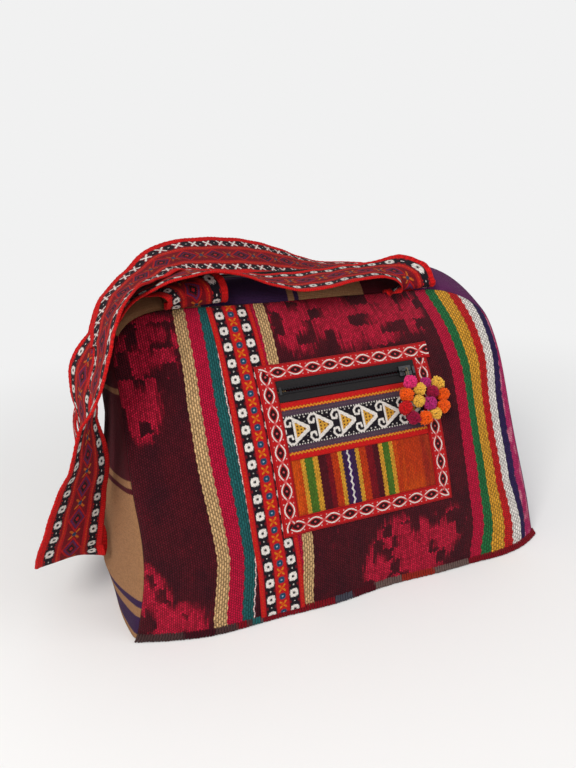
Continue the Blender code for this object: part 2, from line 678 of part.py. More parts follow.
def make_stop(name, matrix, x, thickness=0.0012):
    """The clamp that ends the teeth, across both tapes."""
    low = TAPE_THICKNESS / 2 + 0.0002
    vertices, faces = box_parts((x - 0.0012, -0.0034, low), (x + 0.0012, 0.0034, low + thickness))
    place(add_solid(name, vertices, faces, METAL, 0.4, 1.0, smooth=False), matrix)


def frame_matrix(origin, along, out):
    along = Vector(along).normalized()
    out = Vector(out).normalized()
    across = out.cross(along).normalized()
    out = along.cross(across)
    matrix = Matrix((along, across, out)).transposed().to_4x4()
    matrix.translation = Vector(origin)
    return matrix


def make_pocket_zip():
    foot, _, zip_foot, head = window_spans()
    middle = (zip_foot + head) / 2
    height = np.array(POCKET_FLOOR + TRIM_THICKNESS / 2)
    origin = on_front(np.array(0.0), np.array(middle), height)
    normal = front_normal(np.array(0.0), np.array(middle))
    matrix = frame_matrix(origin, (1.0, 0.0, 0.0), normal)
    start = POCKET_LEFT + TRIM_WIDTH + GAP
    end = POCKET_RIGHT - TRIM_WIDTH - GAP
    half = POCKET_ZIP_WIDTH / 2 - GAP
    make_tape("pocket_zip_tape_upper", matrix, start, end, 1.0, half)
    make_tape("pocket_zip_tape_lower", matrix, start, end, -1.0, half)
    make_teeth("pocket_zip_teeth_upper", matrix, start + 0.004, end - 0.004, 1.0, POCKET_TOOTH_PITCH)
    make_teeth("pocket_zip_teeth_lower", matrix, start + 0.004, end - 0.004, -1.0, POCKET_TOOTH_PITCH)
    make_stop("pocket_zip_stop_open_end", matrix, start + 0.0022)
    make_stop("pocket_zip_stop_closed_end", matrix, end - 0.0022)
    slider_matrix = matrix @ Matrix.Translation((POCKET_SLIDER_X, 0.0, 0.0))
    make_slider("pocket_zip_slider", slider_matrix)
    return slider_matrix


def make_ball(name, matrix, centre, radius, colour, parent):
    """A cut yarn ball: rings of points with every other one pulled out a little."""
    rings, sectors = 6, 10
    vertices = [Vector((0.0, 0.0, -radius))]
    for ring in range(1, rings):
        tilt = math.pi * ring / rings
        for sector in range(sectors):
            angle = 2.0 * math.pi * (sector + 0.5 * (ring % 2)) / sectors
            size = radius * (1.0 if (sector + ring) % 2 else 0.92)
            vertices.append(Vector((size * math.sin(tilt) * math.cos(angle), size * math.sin(tilt) * math.sin(angle),
                                    -size * math.cos(tilt))))
    vertices.append(Vector((0.0, 0.0, radius)))
    last = len(vertices) - 1
    faces = []
    for sector in range(sectors):
        after = (sector + 1) % sectors
        faces.append((0, 1 + after, 1 + sector))
        for ring in range(rings - 2):
            here = 1 + ring * sectors
            faces.append((here + sector, here + after, here + sectors + after, here + sectors + sector))
        here = 1 + (rings - 2) * sectors
        faces.append((here + sector, here + after, last))
    ball = add_solid(name, vertices, faces, BALL_COLOURS[colour], roughness=1.0)
    place(ball, matrix @ Matrix.Translation(Vector(centre)), parent)


def make_pompoms(slider_matrix):
    """A garland of yarn balls on a cord that is looped round the slider's bridge."""
    pivot = slider_matrix @ Matrix.Translation((0.0, 0.0, BRIDGE_HEIGHT))
    hinge = bpy.data.objects.new("pompom_hinge", None)
    bpy.context.scene.collection.objects.link(hinge)
    hinge.matrix_world = pivot
    bpy.context.view_layer.update()
    for index, (across, down, out, radius, colour) in enumerate(POMPOMS):
        make_ball("pompom_%02d" % (index + 1), slider_matrix, (across, down, out), radius, colour, hinge)
    route = [Vector((0.0, CORD_BEND * math.cos(angle), -CORD_BEND * math.sin(angle)))
             for angle in np.linspace(-math.pi, 0.0, 9)]
    route = [Vector((0.0, point.z, point.y)) for point in route]
    route = [Vector((0.0, -CORD_LEG, route[0].z))] + route + [Vector((0.0, -CORD_LEG, route[-1].z))]
    vertices = []
    sides = 6
    for index, centre in enumerate(route):
        along = (route[min(index + 1, len(route) - 1)] - route[max(index - 1, 0)]).normalized()
        level = Vector((1.0, 0.0, 0.0))
        up = level.cross(along)
        for side in range(sides):
            turn = 2.0 * math.pi * side / sides
            vertices.append(centre + (level * math.cos(turn) + up * math.sin(turn)) * CORD_RADIUS)
    faces = [tuple(range(sides)), tuple((len(route) - 1) * sides + side for side in reversed(range(sides)))]
    for index in range(len(route) - 1):
        for side in range(sides):
            here = index * sides
            after = (side + 1) % sides
            faces.append((here + side, here + after, here + sides + after, here + sides + side))
    cord = add_solid("pompom_cord", vertices, faces, GOLD, roughness=0.95)
    place(cord, pivot, hinge)


def make_main_zip():
    edge_share = 0.5 - MAIN_ZIP_WIDTH / 2 / top_depth()
    middle = top_point(np.array([0.0]), np.array([0.5]))[0]
    middle[2] = top_point(np.array([0.0]), np.array([edge_share]))[0][2] - CLOTH / 2
    matrix = frame_matrix(middle, (1.0, 0.0, -TOP_SLOPE), (TOP_SLOPE, 0.0, 1.0))
    reach = HALF_LENGTH_TOP - 0.001
    half = MAIN_ZIP_WIDTH / 2 - 2.0 * GAP
    make_tape("main_zip_tape_front", matrix, -reach, reach, -1.0, half)
    make_tape("main_zip_tape_back", matrix, -reach, reach, 1.0, half)
    make_teeth("main_zip_teeth_front", matrix, -reach + 0.005, reach - 0.005, -1.0, MAIN_TOOTH_PITCH)
    make_teeth("main_zip_teeth_back", matrix, -reach + 0.005, reach - 0.005, 1.0, MAIN_TOOTH_PITCH)
    make_stop("main_zip_stop_open_end", matrix, -reach + 0.003)
    make_stop("main_zip_stop_closed_end", matrix, reach - 0.003)
    slider_matrix = matrix @ Matrix.Translation((MAIN_SLIDER_X, 0.0, 0.0))
    make_slider("main_zip_slider", slider_matrix)
    make_pull("main_zip_pull", slider_matrix)


def make_pull(name, slider_matrix):
    """A tapered tab whose end bar lies under the slider's bridge, with a hole at its free end."""
    pivot = slider_matrix @ Matrix.Translation((0.0, 0.0, PULL_PIVOT))
    half = PULL_THICKNESS / 2
    bar = 0.0006
    outer = [(-bar, -PULL_WIDTH / 2), (PULL_LENGTH - 0.003, -PULL_WIDTH / 2 + 0.0006)]
    nose = [(PULL_LENGTH - 0.003 + 0.0030 * math.sin(math.pi * step / 8),
             -(PULL_WIDTH / 2 - 0.0006) * math.cos(math.pi * step / 8)) for step in range(1, 8)]
    outer += nose + [(PULL_LENGTH - 0.003, PULL_WIDTH / 2 - 0.0006), (-bar, PULL_WIDTH / 2)]
    vertices, faces = extrude_outline(outer, -half, half, 2)
    pull = place(add_solid(name, vertices, faces, METAL, 0.35, 1.0, smooth=False), pivot)
    slot, slot_faces = box_parts((bar, -0.0018, -0.003), (0.0075, 0.0018, 0.003))
    hole = [(PULL_LENGTH - 0.0042 + 0.0013 * math.cos(math.pi * step / 4),
             0.0013 * math.sin(math.pi * step / 4)) for step in range(8)]
    eye, eye_faces = extrude_outline(hole, -0.003, 0.003, 2)
    for cutter_name, shape, shape_faces in (("slot", slot, slot_faces), ("eye", eye, eye_faces)):
        cutter = add_solid(name + "_" + cutter_name + "_shape", shape, shape_faces, METAL, smooth=False)
        place(cutter, pivot)
        cutter.hide_render = True
        cutter.display_type = 'WIRE'
        cut = pull.modifiers.new(cutter_name, 'BOOLEAN')
        cut.operation = 'DIFFERENCE'
        cut.object = cutter


# Handles

def smooth_route(rows, count):
    """Points at even steps along a smooth curve through the given rows."""
    rows = np.asarray(rows, float)
    chord = np.concatenate([[0.0], np.cumsum(np.linalg.norm(np.diff(rows[:, :3], axis=0), axis=1) ** 0.5)])
    padded = np.vstack([2 * rows[0] - rows[1], rows, 2 * rows[-1] - rows[-2]])
    times = np.concatenate([[-chord[1]], chord, [2 * chord[-1] - chord[-2]]])
    fine = []
    for part in range(1, len(padded) - 2):
        before, start, end, after = padded[part - 1:part + 3]
        time_before, time_start, time_end, time_after = times[part - 1:part + 3]
        span = time_end - time_start
        leave = (end - before) / (time_end - time_before) * span
        arrive = (after - start) / (time_after - time_start) * span
        for share in np.linspace(0.0, 1.0, 24, endpoint=False):
            cube = share ** 3
            square = share ** 2
            fine.append((2 * cube - 3 * square + 1) * start + (cube - 2 * square + share) * leave
                        + (3 * square - 2 * cube) * end + (cube - square) * arrive)
    fine.append(padded[-2])
    fine = np.array(fine)
    length = np.concatenate([[0.0], np.cumsum(np.linalg.norm(np.diff(fine[:, :3], axis=0), axis=1))])
    even = np.linspace(0.0, length[-1], count)
    return np.stack([np.interp(even, length, fine[:, column]) for column in range(rows.shape[1])], axis=1)


def band_frames(route, count):
    even = smooth_route(route, count)
    centre = even[:, :3]
    tangent = unit(np.gradient(centre, axis=0))
    across = even[:, 3:]
    across = unit(across - tangent * np.sum(across * tangent, axis=1, keepdims=True))
    return centre, tangent, across


def make_handle(name, route, colour):
    centre, tangent, across = band_frames(route, HANDLE_STATIONS)
    normal = np.cross(across, tangent)
    half = HANDLE_WIDTH / 2
    section = [(-half, 0.5), (0.0, 0.5), (half, 0.5), (half, -0.5), (0.0, -0.5), (-half, -0.5)]
    vertices = []
    for point, side, up in zip(centre, across, normal):
        for offset, level in section:
            vertices.append(point + side * offset + up * (level * HANDLE_THICKNESS))
    sides = len(section)
    faces = [tuple(range(sides)), tuple((HANDLE_STATIONS - 1) * sides + side for side in reversed(range(sides)))]
    for station in range(HANDLE_STATIONS - 1):
        for side in range(sides):
            here = station * sides
            after = (side + 1) % sides
            faces.append((here + side, here + after, here + sides + after, here + sides + side))
    add_solid(name, vertices, faces, colour)


def on_gusset(height, share, lift, sense, tilt):
    """A row of a handle's route over the -X gusset; tilt leans its far edge outwards."""
    s = np.array([height])
    rise = np.clip((s - (PANEL_HEIGHT - SHOULDER_RADIUS)) / SHOULDER_RADIUS, 0.0, 1.0)
    angle = float(np.arcsin(rise)[0])
    outward = np.array([-math.cos(angle), 0.0, math.sin(angle)])
    x = -half_length(s)
    point = front_point(x, s)[0] * (1.0 - share) + back_point(x, s)[0] * share
    hump = max(4.0 * share * (1.0 - share), 0.0)
    reach = float(gusset_bulge(s / PANEL_HEIGHT)[0]) * hump + lift
    return (*(point + reach * outward), *(np.array([0.0, sense, 0.0]) + tilt * outward))


def flat_turn(steps=5):
    """Half a circle in the plane of the band, from its way down to its way up."""
    x, y, z, radius = HANDLE_TURN
    rows = []
    for angle in np.linspace(0.0, math.pi, steps):
        rows.append((x, y - radius * math.cos(angle), z - radius * math.sin(angle),
                     0.0, math.cos(angle), math.sin(angle)))
    return rows


def make_handles():
    top = np.array(PANEL_HEIGHT - 0.001)
    ends = {}
    for side in (1.0, -1.0):
        x = np.array(side * HANDLE_END_X)
        ends[("front", side)] = on_front(x, top, np.array(HANDLE_SEAM_LIFT))
        ends[("back", side)] = back_point(x, top) + np.array([0.0, HANDLE_SEAM_LIFT, 0.0])
    front = [(*ends[("front", 1.0)], 1.0, 0.0, 0.0)] + FRONT_HANDLE_START
    front += [on_gusset(*row) for row in FRONT_HANDLE_FALL] + flat_turn()
    front += [on_gusset(*row) for row in FRONT_HANDLE_RISE] + FRONT_HANDLE_END
    front += [(*ends[("front", -1.0)], -1.0, 0.0, 0.0)]
    back = [(*ends[("back", 1.0)], -1.0, 0.0, 0.0)] + BACK_HANDLE_START
    back += [on_gusset(*row) for row in BACK_HANDLE_RISE] + BACK_HANDLE_END
    back += [(*ends[("back", -1.0)], 1.0, 0.0, 0.0)]
    make_handle("front_handle", front, RED)
    make_handle("back_handle", back, RED)


def main():
    clear_scene()
    rim_points = make_body()
    make_base(rim_points)
    make_edge_binding("front_edge_binding", rim_points["front_panel"], CRIMSON)
    make_edge_binding("back_edge_binding", rim_points["back_panel"], CRIMSON)
    make_belt()
    make_pocket_trim()
    make_pocket_cloths()
    slider_matrix = make_pocket_zip()
    make_pompoms(slider_matrix)
    make_main_zip()
    make_handles()


main()
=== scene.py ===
"""Looks of the woven boston bag: kilim cloth, woven bands, ribbon, zips and a yarn garland.

Every cloth piece carries an attribute named cloth: millimetres across and along the cloth, and a
side (1 is the face). The materials draw their woven patterns from it.
"""
import json
import math
import random
from functools import partialmethod

import bpy
import numpy as np
from mathutils import Matrix, Vector


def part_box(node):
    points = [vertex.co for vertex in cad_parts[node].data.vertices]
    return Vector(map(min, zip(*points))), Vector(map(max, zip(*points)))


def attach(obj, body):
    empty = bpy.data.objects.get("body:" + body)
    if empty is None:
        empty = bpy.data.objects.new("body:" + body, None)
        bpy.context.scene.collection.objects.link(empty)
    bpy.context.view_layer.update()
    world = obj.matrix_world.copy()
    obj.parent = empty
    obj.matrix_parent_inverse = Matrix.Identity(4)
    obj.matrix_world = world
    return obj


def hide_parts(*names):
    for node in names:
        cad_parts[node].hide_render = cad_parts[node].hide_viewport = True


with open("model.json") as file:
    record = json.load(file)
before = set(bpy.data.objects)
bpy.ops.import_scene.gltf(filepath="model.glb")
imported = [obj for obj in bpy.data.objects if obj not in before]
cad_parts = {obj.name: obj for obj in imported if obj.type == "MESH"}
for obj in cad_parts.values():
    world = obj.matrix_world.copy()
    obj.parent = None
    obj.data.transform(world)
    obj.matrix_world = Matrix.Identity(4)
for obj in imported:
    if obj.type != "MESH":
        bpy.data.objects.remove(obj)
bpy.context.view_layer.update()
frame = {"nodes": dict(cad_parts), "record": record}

MM = 1000.0

# Body, as in the solids
PANEL_HEIGHT = 0.285
LEAN_FOOT = math.radians(11.0)
LEAN_GAIN = math.radians(38.4)
LEAN_POWER = 1.7
PANEL_FOOT = 0.0012
HALF_LENGTH_BASE = 0.205
HALF_LENGTH_WAIST = 0.189
WAIST_START = 0.11
SHOULDER_RADIUS = 0.055
BASE_DEPTH = 0.200
BACK_TOP_Y = 0.100
BACK_BULGE = 0.024
END_SETBACK = 0.018
TOP_BULGE = 0.023
TOP_SLOPE = 0.0407
SLOPE_START = 0.222
GUSSET_BULGE = [(0.0, 0.012), (0.12, 0.026), (0.38, 0.023), (0.62, 0.012), (0.82, 0.010), (1.0, 0.020)]
BELT_CENTRE_X = -0.0777
BELT_WIDTH = 0.0405
BELT_HEIGHT = 0.0015
POCKET_LEFT = -0.070
POCKET_RIGHT = 0.100
POCKET_FOOT = 0.069
POCKET_TOP = 0.221
TRIM_WIDTH = 0.016
TRIM_THICKNESS = 0.0014
POCKET_FLOOR = 0.0018
SHEET_EDGE = 0.0016
POCKET_ZIP_WIDTH = 0.020
HOOK_BAND_HEIGHT = 0.0513
MAIN_ZIP_WIDTH = 0.024
HANDLE_WIDTH = 0.058
HANDLE_THICKNESS = 0.0020
WEB_SHARE = 0.86
HANDLE_END_X = 0.108
HANDLE_SEAM_LIFT = 0.0036
FRONT_WARD = (0.0, -1.0, 0.2)

# Mesh density
SIDE_ROWS = 150
SHOULDER_ROWS = 34
PANEL_COLUMNS = 250
GUSSET_COLUMNS = 96
TOP_COLUMNS = 20
SEAM_DIP = 0.0013
SEAM_WIDTH = 0.0035
RIM_DEPTH = 0.0035
STITCH_PITCH = 0.0025
STITCH_RADIUS = 0.0011

# Yarn colours
MAROON = (0.082, 0.0060, 0.0120)
DARK_MAROON = (0.048, 0.0050, 0.0105)
CRIMSON = (0.500, 0.006, 0.040)
IKAT = (0.300, 0.007, 0.024)
IKAT_LIGHT = (0.560, 0.012, 0.045)
RED = (0.540, 0.010, 0.012)
BRIGHT_RED = (0.620, 0.010, 0.010)
DEEP_RED = (0.200, 0.005, 0.012)
BLACK = (0.012, 0.008, 0.013)
CREAM = (0.660, 0.410, 0.190)
WHITE = (0.860, 0.790, 0.730)
PALE_PINK = (0.780, 0.560, 0.540)
TEAL = (0.016, 0.115, 0.115)
GREEN = (0.018, 0.150, 0.045)
LEAF = (0.075, 0.165, 0.018)
GOLD = (0.700, 0.330, 0.030)
ORANGE = (0.680, 0.085, 0.006)
RUST = (0.520, 0.040, 0.006)
NAVY = (0.024, 0.010, 0.075)
BLUE = (0.012, 0.060, 0.120)
PALE_BLUE = (0.330, 0.480, 0.600)
TAN = (0.370, 0.185, 0.085)
PURPLE = (0.044, 0.016, 0.062)
VIOLET = (0.110, 0.020, 0.090)
MAGENTA = (0.480, 0.020, 0.120)
ROSE = (0.760, 0.085, 0.095)
GREY = (0.150, 0.095, 0.085)
DARK_GREY = (0.070, 0.034, 0.034)
SLATE = (0.060, 0.060, 0.080)
PLUM = (0.080, 0.044, 0.070)
METAL = (0.060, 0.060, 0.062)
TAPE = (0.020, 0.018, 0.019)
TEETH = (0.010, 0.009, 0.011)


# Numbers that vary over a surface, worked out by a material's nodes

def feed(tree, socket, value):
    """Links a field or a socket into a socket, or sets the socket to a value."""
    if isinstance(value, Field):
        value = value.source
    if isinstance(value, bpy.types.NodeSocket):
        tree.links.new(value, socket)
    else:
        socket.default_value = value


def add_node(tree, kind, *inputs, **settings):
    """A new node with its settings, and its first inputs fed in their order."""
    node = tree.nodes.new(kind)
    for name, value in settings.items():
        setattr(node, name, value)
    for socket, value in zip(node.inputs, inputs):
        feed(tree, socket, value)
    return node


class Field:
    def __init__(self, tree, source):
        self.tree = tree
        self.source = source

    def math(self, operation, *others):
        node = add_node(self.tree, "ShaderNodeMath", self, *others, operation=operation)
        return Field(self.tree, node.outputs[0])

    __add__ = partialmethod(math, "ADD")
    __sub__ = partialmethod(math, "SUBTRACT")
    __mul__ = partialmethod(math, "MULTIPLY")
    __truediv__ = partialmethod(math, "DIVIDE")
    __neg__ = partialmethod(math, "MULTIPLY", -1.0)
    floor = partialmethod(math, "FLOOR")
    fract = partialmethod(math, "FRACT")
    size = partialmethod(math, "ABSOLUTE")
    power = partialmethod(math, "POWER")
    sine = partialmethod(math, "SINE")
    least = partialmethod(math, "MINIMUM")
    most = partialmethod(math, "MAXIMUM")

    def wrap(self, period):
        """Distance from the nearest whole number of periods, negative before it."""
        return ((self / period + 0.5).fract() - 0.5) * period

    def step(self, low, high):
        node = add_node(self.tree, "ShaderNodeMapRange", self, low, high, interpolation_type="SMOOTHSTEP")
        return Field(self.tree, node.outputs[0])

    def above(self, edge, soft=0.25):
        return self.step(edge - soft, edge + soft)

    def below(self, edge, soft=0.25):
        return (-self).step(-edge - soft, -edge + soft)

    def between(self, low, high, soft=0.25):
        return self.above(low, soft) * self.below(high, soft)

    def rest(self):
        """What is left of a mask: 1 where it is 0."""
        return -self + 1.0


def length(first, second):
    return (first * first + second * second).power(0.5)


def segment(u, v, start, end):
    """Distance from a straight line between two points."""
    run = (end[0] - start[0], end[1] - start[1])
    square = run[0] ** 2 + run[1] ** 2
    share = ((u - start[0]) * run[0] + (v - start[1]) * run[1]) / square
    share = share.most(0.0).least(1.0)
    return length(u - start[0] - share * run[0], v - start[1] - share * run[1])


class Cloth:
    """A woven material, painted in layers from the first colour up."""

    def __init__(self, name, ground, roughness=0.95, sheen=0.03, specular=0.08):
        self.material = bpy.data.materials.new(name)
        self.material.use_nodes = True
        self.tree = self.material.node_tree
        self.shader = self.tree.nodes["Principled BSDF"]
        self.material["slot"] = name
        finish = (("Roughness", roughness), ("Specular IOR Level", specular), ("Sheen Weight", sheen),
                  ("Sheen Roughness", 0.5))
        for socket, value in finish:
            self.shader.inputs[socket].default_value = value
        attribute = add_node(self.tree, "ShaderNodeAttribute", attribute_name="cloth")
        split = add_node(self.tree, "ShaderNodeSeparateXYZ", attribute.outputs["Vector"])
        self.u, self.v, self.side = (Field(self.tree, place) for place in split.outputs)
        self.colour = self.point(*ground)

    def over(self, mask, colour):
        """Lays a colour on, where the mask is 1."""
        node = add_node(self.tree, "ShaderNodeMix", data_type="RGBA")
        feed(self.tree, node.inputs["Factor"], mask)
        feed(self.tree, node.inputs[6], self.colour)
        feed(self.tree, node.inputs[7], (*colour, 1.0))
        self.colour = node.outputs[2]

    def stripes(self, u, bands, soft=0.3):
        """Bands of colour across u, each as its far edge and its colour."""
        for (start, _), (_, colour) in zip(bands[:-1], bands[1:]):
            self.over(u.above(start, soft), colour)

    def point(self, x, y, z=0.0):
        return add_node(self.tree, "ShaderNodeCombineXYZ", x, y, z).outputs[0]

    def noise(self, x, y, scale=1.0, detail=2.0, z=0.0):
        node = add_node(self.tree, "ShaderNodeTexNoise", self.point(x, y, z))
        node.inputs["Scale"].default_value = scale
        node.inputs["Detail"].default_value = detail
        return Field(self.tree, node.outputs["Fac"])

    def speckle(self, x, y):
        node = add_node(self.tree, "ShaderNodeTexWhiteNoise", self.point(x, y), noise_dimensions="2D")
        return Field(self.tree, node.outputs["Value"])

    def stitches(self, u, v, width, height, shift=0.5):
        """Stitches side by side in columns: how far each bulges, and the middle of the one here."""
        column = (u / width).floor()
        offset = (column * shift).fract()
        row = v / height + offset
        across = (u / width).fract() - 0.5
        along = row.fract() - 0.5
        bulge = (across.size() * 2.0).power(2.0).rest() * (along.size() * 2.0).power(3.0).rest()
        middle = ((column + 0.5) * width, (row.floor() + 0.5 - offset) * height)
        return bulge, middle, self.speckle(column, row.floor())

    def shade(self, bulge, chance, dark=0.5, spread=0.3):
        """Darkens the gaps between stitches with painted shade, and gives each stitch a tone of its own."""
        tone = (bulge * (1.0 - dark) + dark) * (chance * spread + (1.0 - spread / 2.0))
        node = add_node(self.tree, "ShaderNodeVectorMath", self.colour, operation="SCALE")
        feed(self.tree, node.inputs["Scale"], tone)
        self.colour = node.outputs[0]

    def finish(self, height, depth_mm, fuzz=0.12):
        """Bump of that depth in millimetres, with a little loose fibre on top."""
        fibre = self.noise(self.u, self.v, 1.3, 3.0)
        bump = add_node(self.tree, "ShaderNodeBump")
        bump.inputs["Distance"].default_value = depth_mm / MM
        bump.inputs["Strength"].default_value = 1.0
        feed(self.tree, bump.inputs["Height"], height + fibre * fuzz)
        feed(self.tree, self.shader.inputs["Normal"], bump.outputs[0])
        feed(self.tree, self.shader.inputs["Base Color"], self.colour)
        return self.material


# Kilim cloth of the walls

LEFT_EDGE = -132.0
CREAM_WIDTH = 11.0
RIGHT_CREAM = -54.5
RIGHT_GROUP = 132.0


def blot(u, v, centre, reach, tilt=0.0):
    """A soft patch: 1 at its middle, 0 at its edge."""
    across = (u - centre[0] + (v - centre[1]) * tilt) / reach[0]
    along = (v - centre[1]) / reach[1]
    return length(across, along).rest().most(0.0)


def serrate(v, tooth, depth, shift=0.0):
    """A woven edge's teeth: how far they reach to each side of it."""
    return ((v + shift).wrap(tooth).size() / tooth - 0.25) * (depth * 4.0)


IKAT_PATCHES = [
    ((-163.0, 240.0), (34.0, 34.0), 0.0), ((-172.0, 205.0), (22.0, 46.0), 0.0),
    ((-150.0, 262.0), (30.0, 26.0), 0.3), ((-190.0, 38.0), (24.0, 44.0), 0.3),
    ((-165.0, 12.0), (34.0, 26.0), 0.2), ((-20.0, 262.0), (30.0, 42.0), 0.0),
    ((20.0, 262.0), (34.0, 46.0), 0.2), ((66.0, 258.0), (34.0, 46.0), -0.2),
    ((100.0, 262.0), (22.0, 36.0), 0.0), ((22.0, 18.0), (20.0, 34.0), 0.0),
    ((52.0, 38.0), (40.0, 30.0), 0.3), ((86.0, 34.0), (26.0, 34.0), -0.3),
    ((60.0, 8.0), (34.0, 18.0), 0.0)]


def kilim_material(name, motifs=True):
    cloth = Cloth(name, MAROON)
    fine, (u, v), chance = cloth.stitches(cloth.u, cloth.v, 1.9, 2.3)
    coarse, _, wide_chance = cloth.stitches(cloth.u, cloth.v, 2.1, 4.4)
    smudge = cloth.noise(u * 0.05, v * 0.035, 1.0, 3.0)
    cloth.over(smudge.step(0.35, 0.75), DARK_MAROON)
    if motifs:
        streak = cloth.noise(u * 0.42, v * 0.07, 1.0, 3.0)
        wander = cloth.noise(u * 0.30, v * 0.22, 1.0, 2.0) * 7.0
        holes = cloth.speckle(((u + wander) / 9.5).floor(), ((v + wander) / 12.0).floor())
        patches = blot(u, v, *IKAT_PATCHES[0])
        for centre, reach, tilt in IKAT_PATCHES[1:]:
            patches = patches.most(blot(u, v, centre, reach, tilt))
        shape = patches * 1.7 + (streak - 0.5) * 1.1 - holes.step(0.62, 0.70) * 0.80
        mask = shape.step(0.10, 0.55)
        brush = streak.step(0.28, 0.60)
        cloth.over(mask * (brush * 0.25 + 0.75), IKAT)
        cloth.over(shape.step(0.25, 0.80) * (brush * 0.6 + 0.4) * (chance * 0.4 + 0.6), IKAT_LIGHT)
    edge = cloth.u + serrate(cloth.v, 8.6, 0.55)
    other_edge = cloth.u - serrate(cloth.v, 8.6, 0.55, 1.4)
    # left group
    cloth.over(edge.between(LEFT_EDGE + CREAM_WIDTH - 1.0, -108.0), CRIMSON)
    cloth.over(edge.between(-108.0, -98.3), TEAL)
    cloth.over(edge.between(-98.3, -97.2), PALE_PINK)
    cloth.over(edge.between(-60.0, RIGHT_CREAM + 0.5), CRIMSON)
    # right group
    bands = [(RIGHT_GROUP - 12.0, None), (RIGHT_GROUP, CRIMSON), (140.6, GREEN), (152.0, GOLD),
             (160.5, RED), (170.0, WHITE), (179.0, NAVY), (196.0, MAGENTA), (230.0, VIOLET)]
    cloth.stripes(edge, bands)
    pale = cloth.noise(u * 0.16, v * 0.05, 1.0, 2.0).step(0.52, 0.62) * edge.between(178.0, 192.0)
    cloth.over(pale, (0.700, 0.180, 0.280))
    rope = edge.above(LEFT_EDGE) * other_edge.below(LEFT_EDGE + CREAM_WIDTH)
    rope = rope.most(edge.above(RIGHT_CREAM) * other_edge.below(RIGHT_CREAM + 10.0))
    cloth.over(rope, CREAM)
    thick = rope.most(edge.between(140.6, 152.0, 0.1) * 0.9).most(edge.between(160.5, 170.0, 0.1) * 0.9)
    thick = thick.most(edge.between(-108.0, -98.5) * 0.7).most(edge.between(132.0, 140.6) * 0.7)
    thin = thick.rest()
    fleck = cloth.noise(cloth.u * 1.1, cloth.v * 0.35, 1.0, 2.0)
    cloth.shade(fine * thin + coarse * thick, (chance * thin + wide_chance * thick) * 0.6 + fleck * 0.4,
                dark=0.36, spread=0.6)
    return cloth.finish(fine * thin + coarse * thick * 1.9, 0.75)


def side_material():
    """The striped cloth of the ends and the top: tan and purple, wide and narrow."""
    cloth = Cloth("side_cloth", TAN)
    fine, (u, v), chance = cloth.stitches(cloth.u, cloth.v, 1.3, 0.9)
    wobble = cloth.noise(u * 0.03, v * 0.06, 1.0, 1.0) * 2.0 - 1.0
    across = v + wobble
    bands = [(4.0, None), (6.0, PURPLE), (19.0, PURPLE), (27.0, TAN), (33.0, PURPLE), (127.0, TAN),
             (132.0, MAROON), (138.0, TAN), (212.0, MAROON), (217.0, TAN), (262.0, MAROON), (304.0, TAN),
             (388.0, PURPLE), (394.0, TAN), (399.0, PURPLE), (468.0, TAN), (512.0, MAROON), (700.0, RED)]
    cloth.stripes(across, bands, 0.4)
    cloth.over(across.between(525.0, 700.0), VIOLET)
    slub = cloth.noise(u * 0.12, v * 1.1, 1.0, 2.0)
    cloth.shade(fine, chance * 0.5 + slub * 0.5, dark=0.62, spread=0.5)
    return cloth.finish(fine, 0.30)


# Woven bands

def flower(u, v, outer, inner):
    """A white ring with blunt petals and a dark middle."""
    reach = length(u, v) * 0.55 + u.size().most(v.size()) * 0.5
    turn = u.math("ARCTAN2", v)
    petals = (turn * 8.0).sine() * 0.16
    return (reach + petals).below(outer, 0.3) * reach.above(inner, 0.3)


def cross(u, v, arm, thick):
    """An X of that reach and stroke."""
    diagonal = (u.size() - v.size()).size()
    return diagonal.below(thick, 0.25) * u.size().below(arm, 0.25) * v.size().below(arm, 0.25)


def belt_material():
    """The band up the front: two rows of flowers beside a red row of blue buds and orange crosses."""
    cloth = Cloth("band_weave", RED)
    fine, (u, v), chance = cloth.stitches(cloth.u, cloth.v, 0.8, 0.8)
    v = v + u * -0.06
    row = (u.size() - 10.6)
    period = 15.0
    local = (v - 3.0).wrap(period)
    half = (v - 3.0 + period / 2).wrap(period)
    black = u.size().between(6.0, 15.2)
    cloth.over(black, BLACK)
    cloth.over(flower(row, local, 4.0, 1.2) * black, WHITE)
    spots = length(row.size() - 3.7, half.size() - 0.6).below(0.8, 0.2)
    cloth.over(spots * black * 0.8, DEEP_RED)
    cloth.over(length(row, half).below(0.55, 0.2) * black, WHITE)
    centre = u.size().below(5.4)
    cloth.over(cross(u, half, 3.4, 1.0) * centre, (0.700, 0.230, 0.012))
    cloth.over(cross(u, half, 1.4, 1.0) * centre, ORANGE)
    cloth.over((length(u, local) * 0.5 + u.size().most(local.size()) * 0.5).below(2.9, 0.25) * centre, BLUE)
    cloth.over(length(u, local).below(0.7, 0.25) * centre, PALE_BLUE)
    slant = (u * 0.9 + v).wrap(3.0).size().below(0.6, 0.2) * u.size().between(17.4, 18.8)
    cloth.over(slant * 0.5, ORANGE)
    cloth.over(u.size().above(19.0), BRIGHT_RED)
    cloth.over(u.size().between(15.3, 15.9, 0.15), DEEP_RED)
    cloth.shade(fine, chance, dark=0.66, spread=0.35)
    return cloth.finish(fine, 0.28)


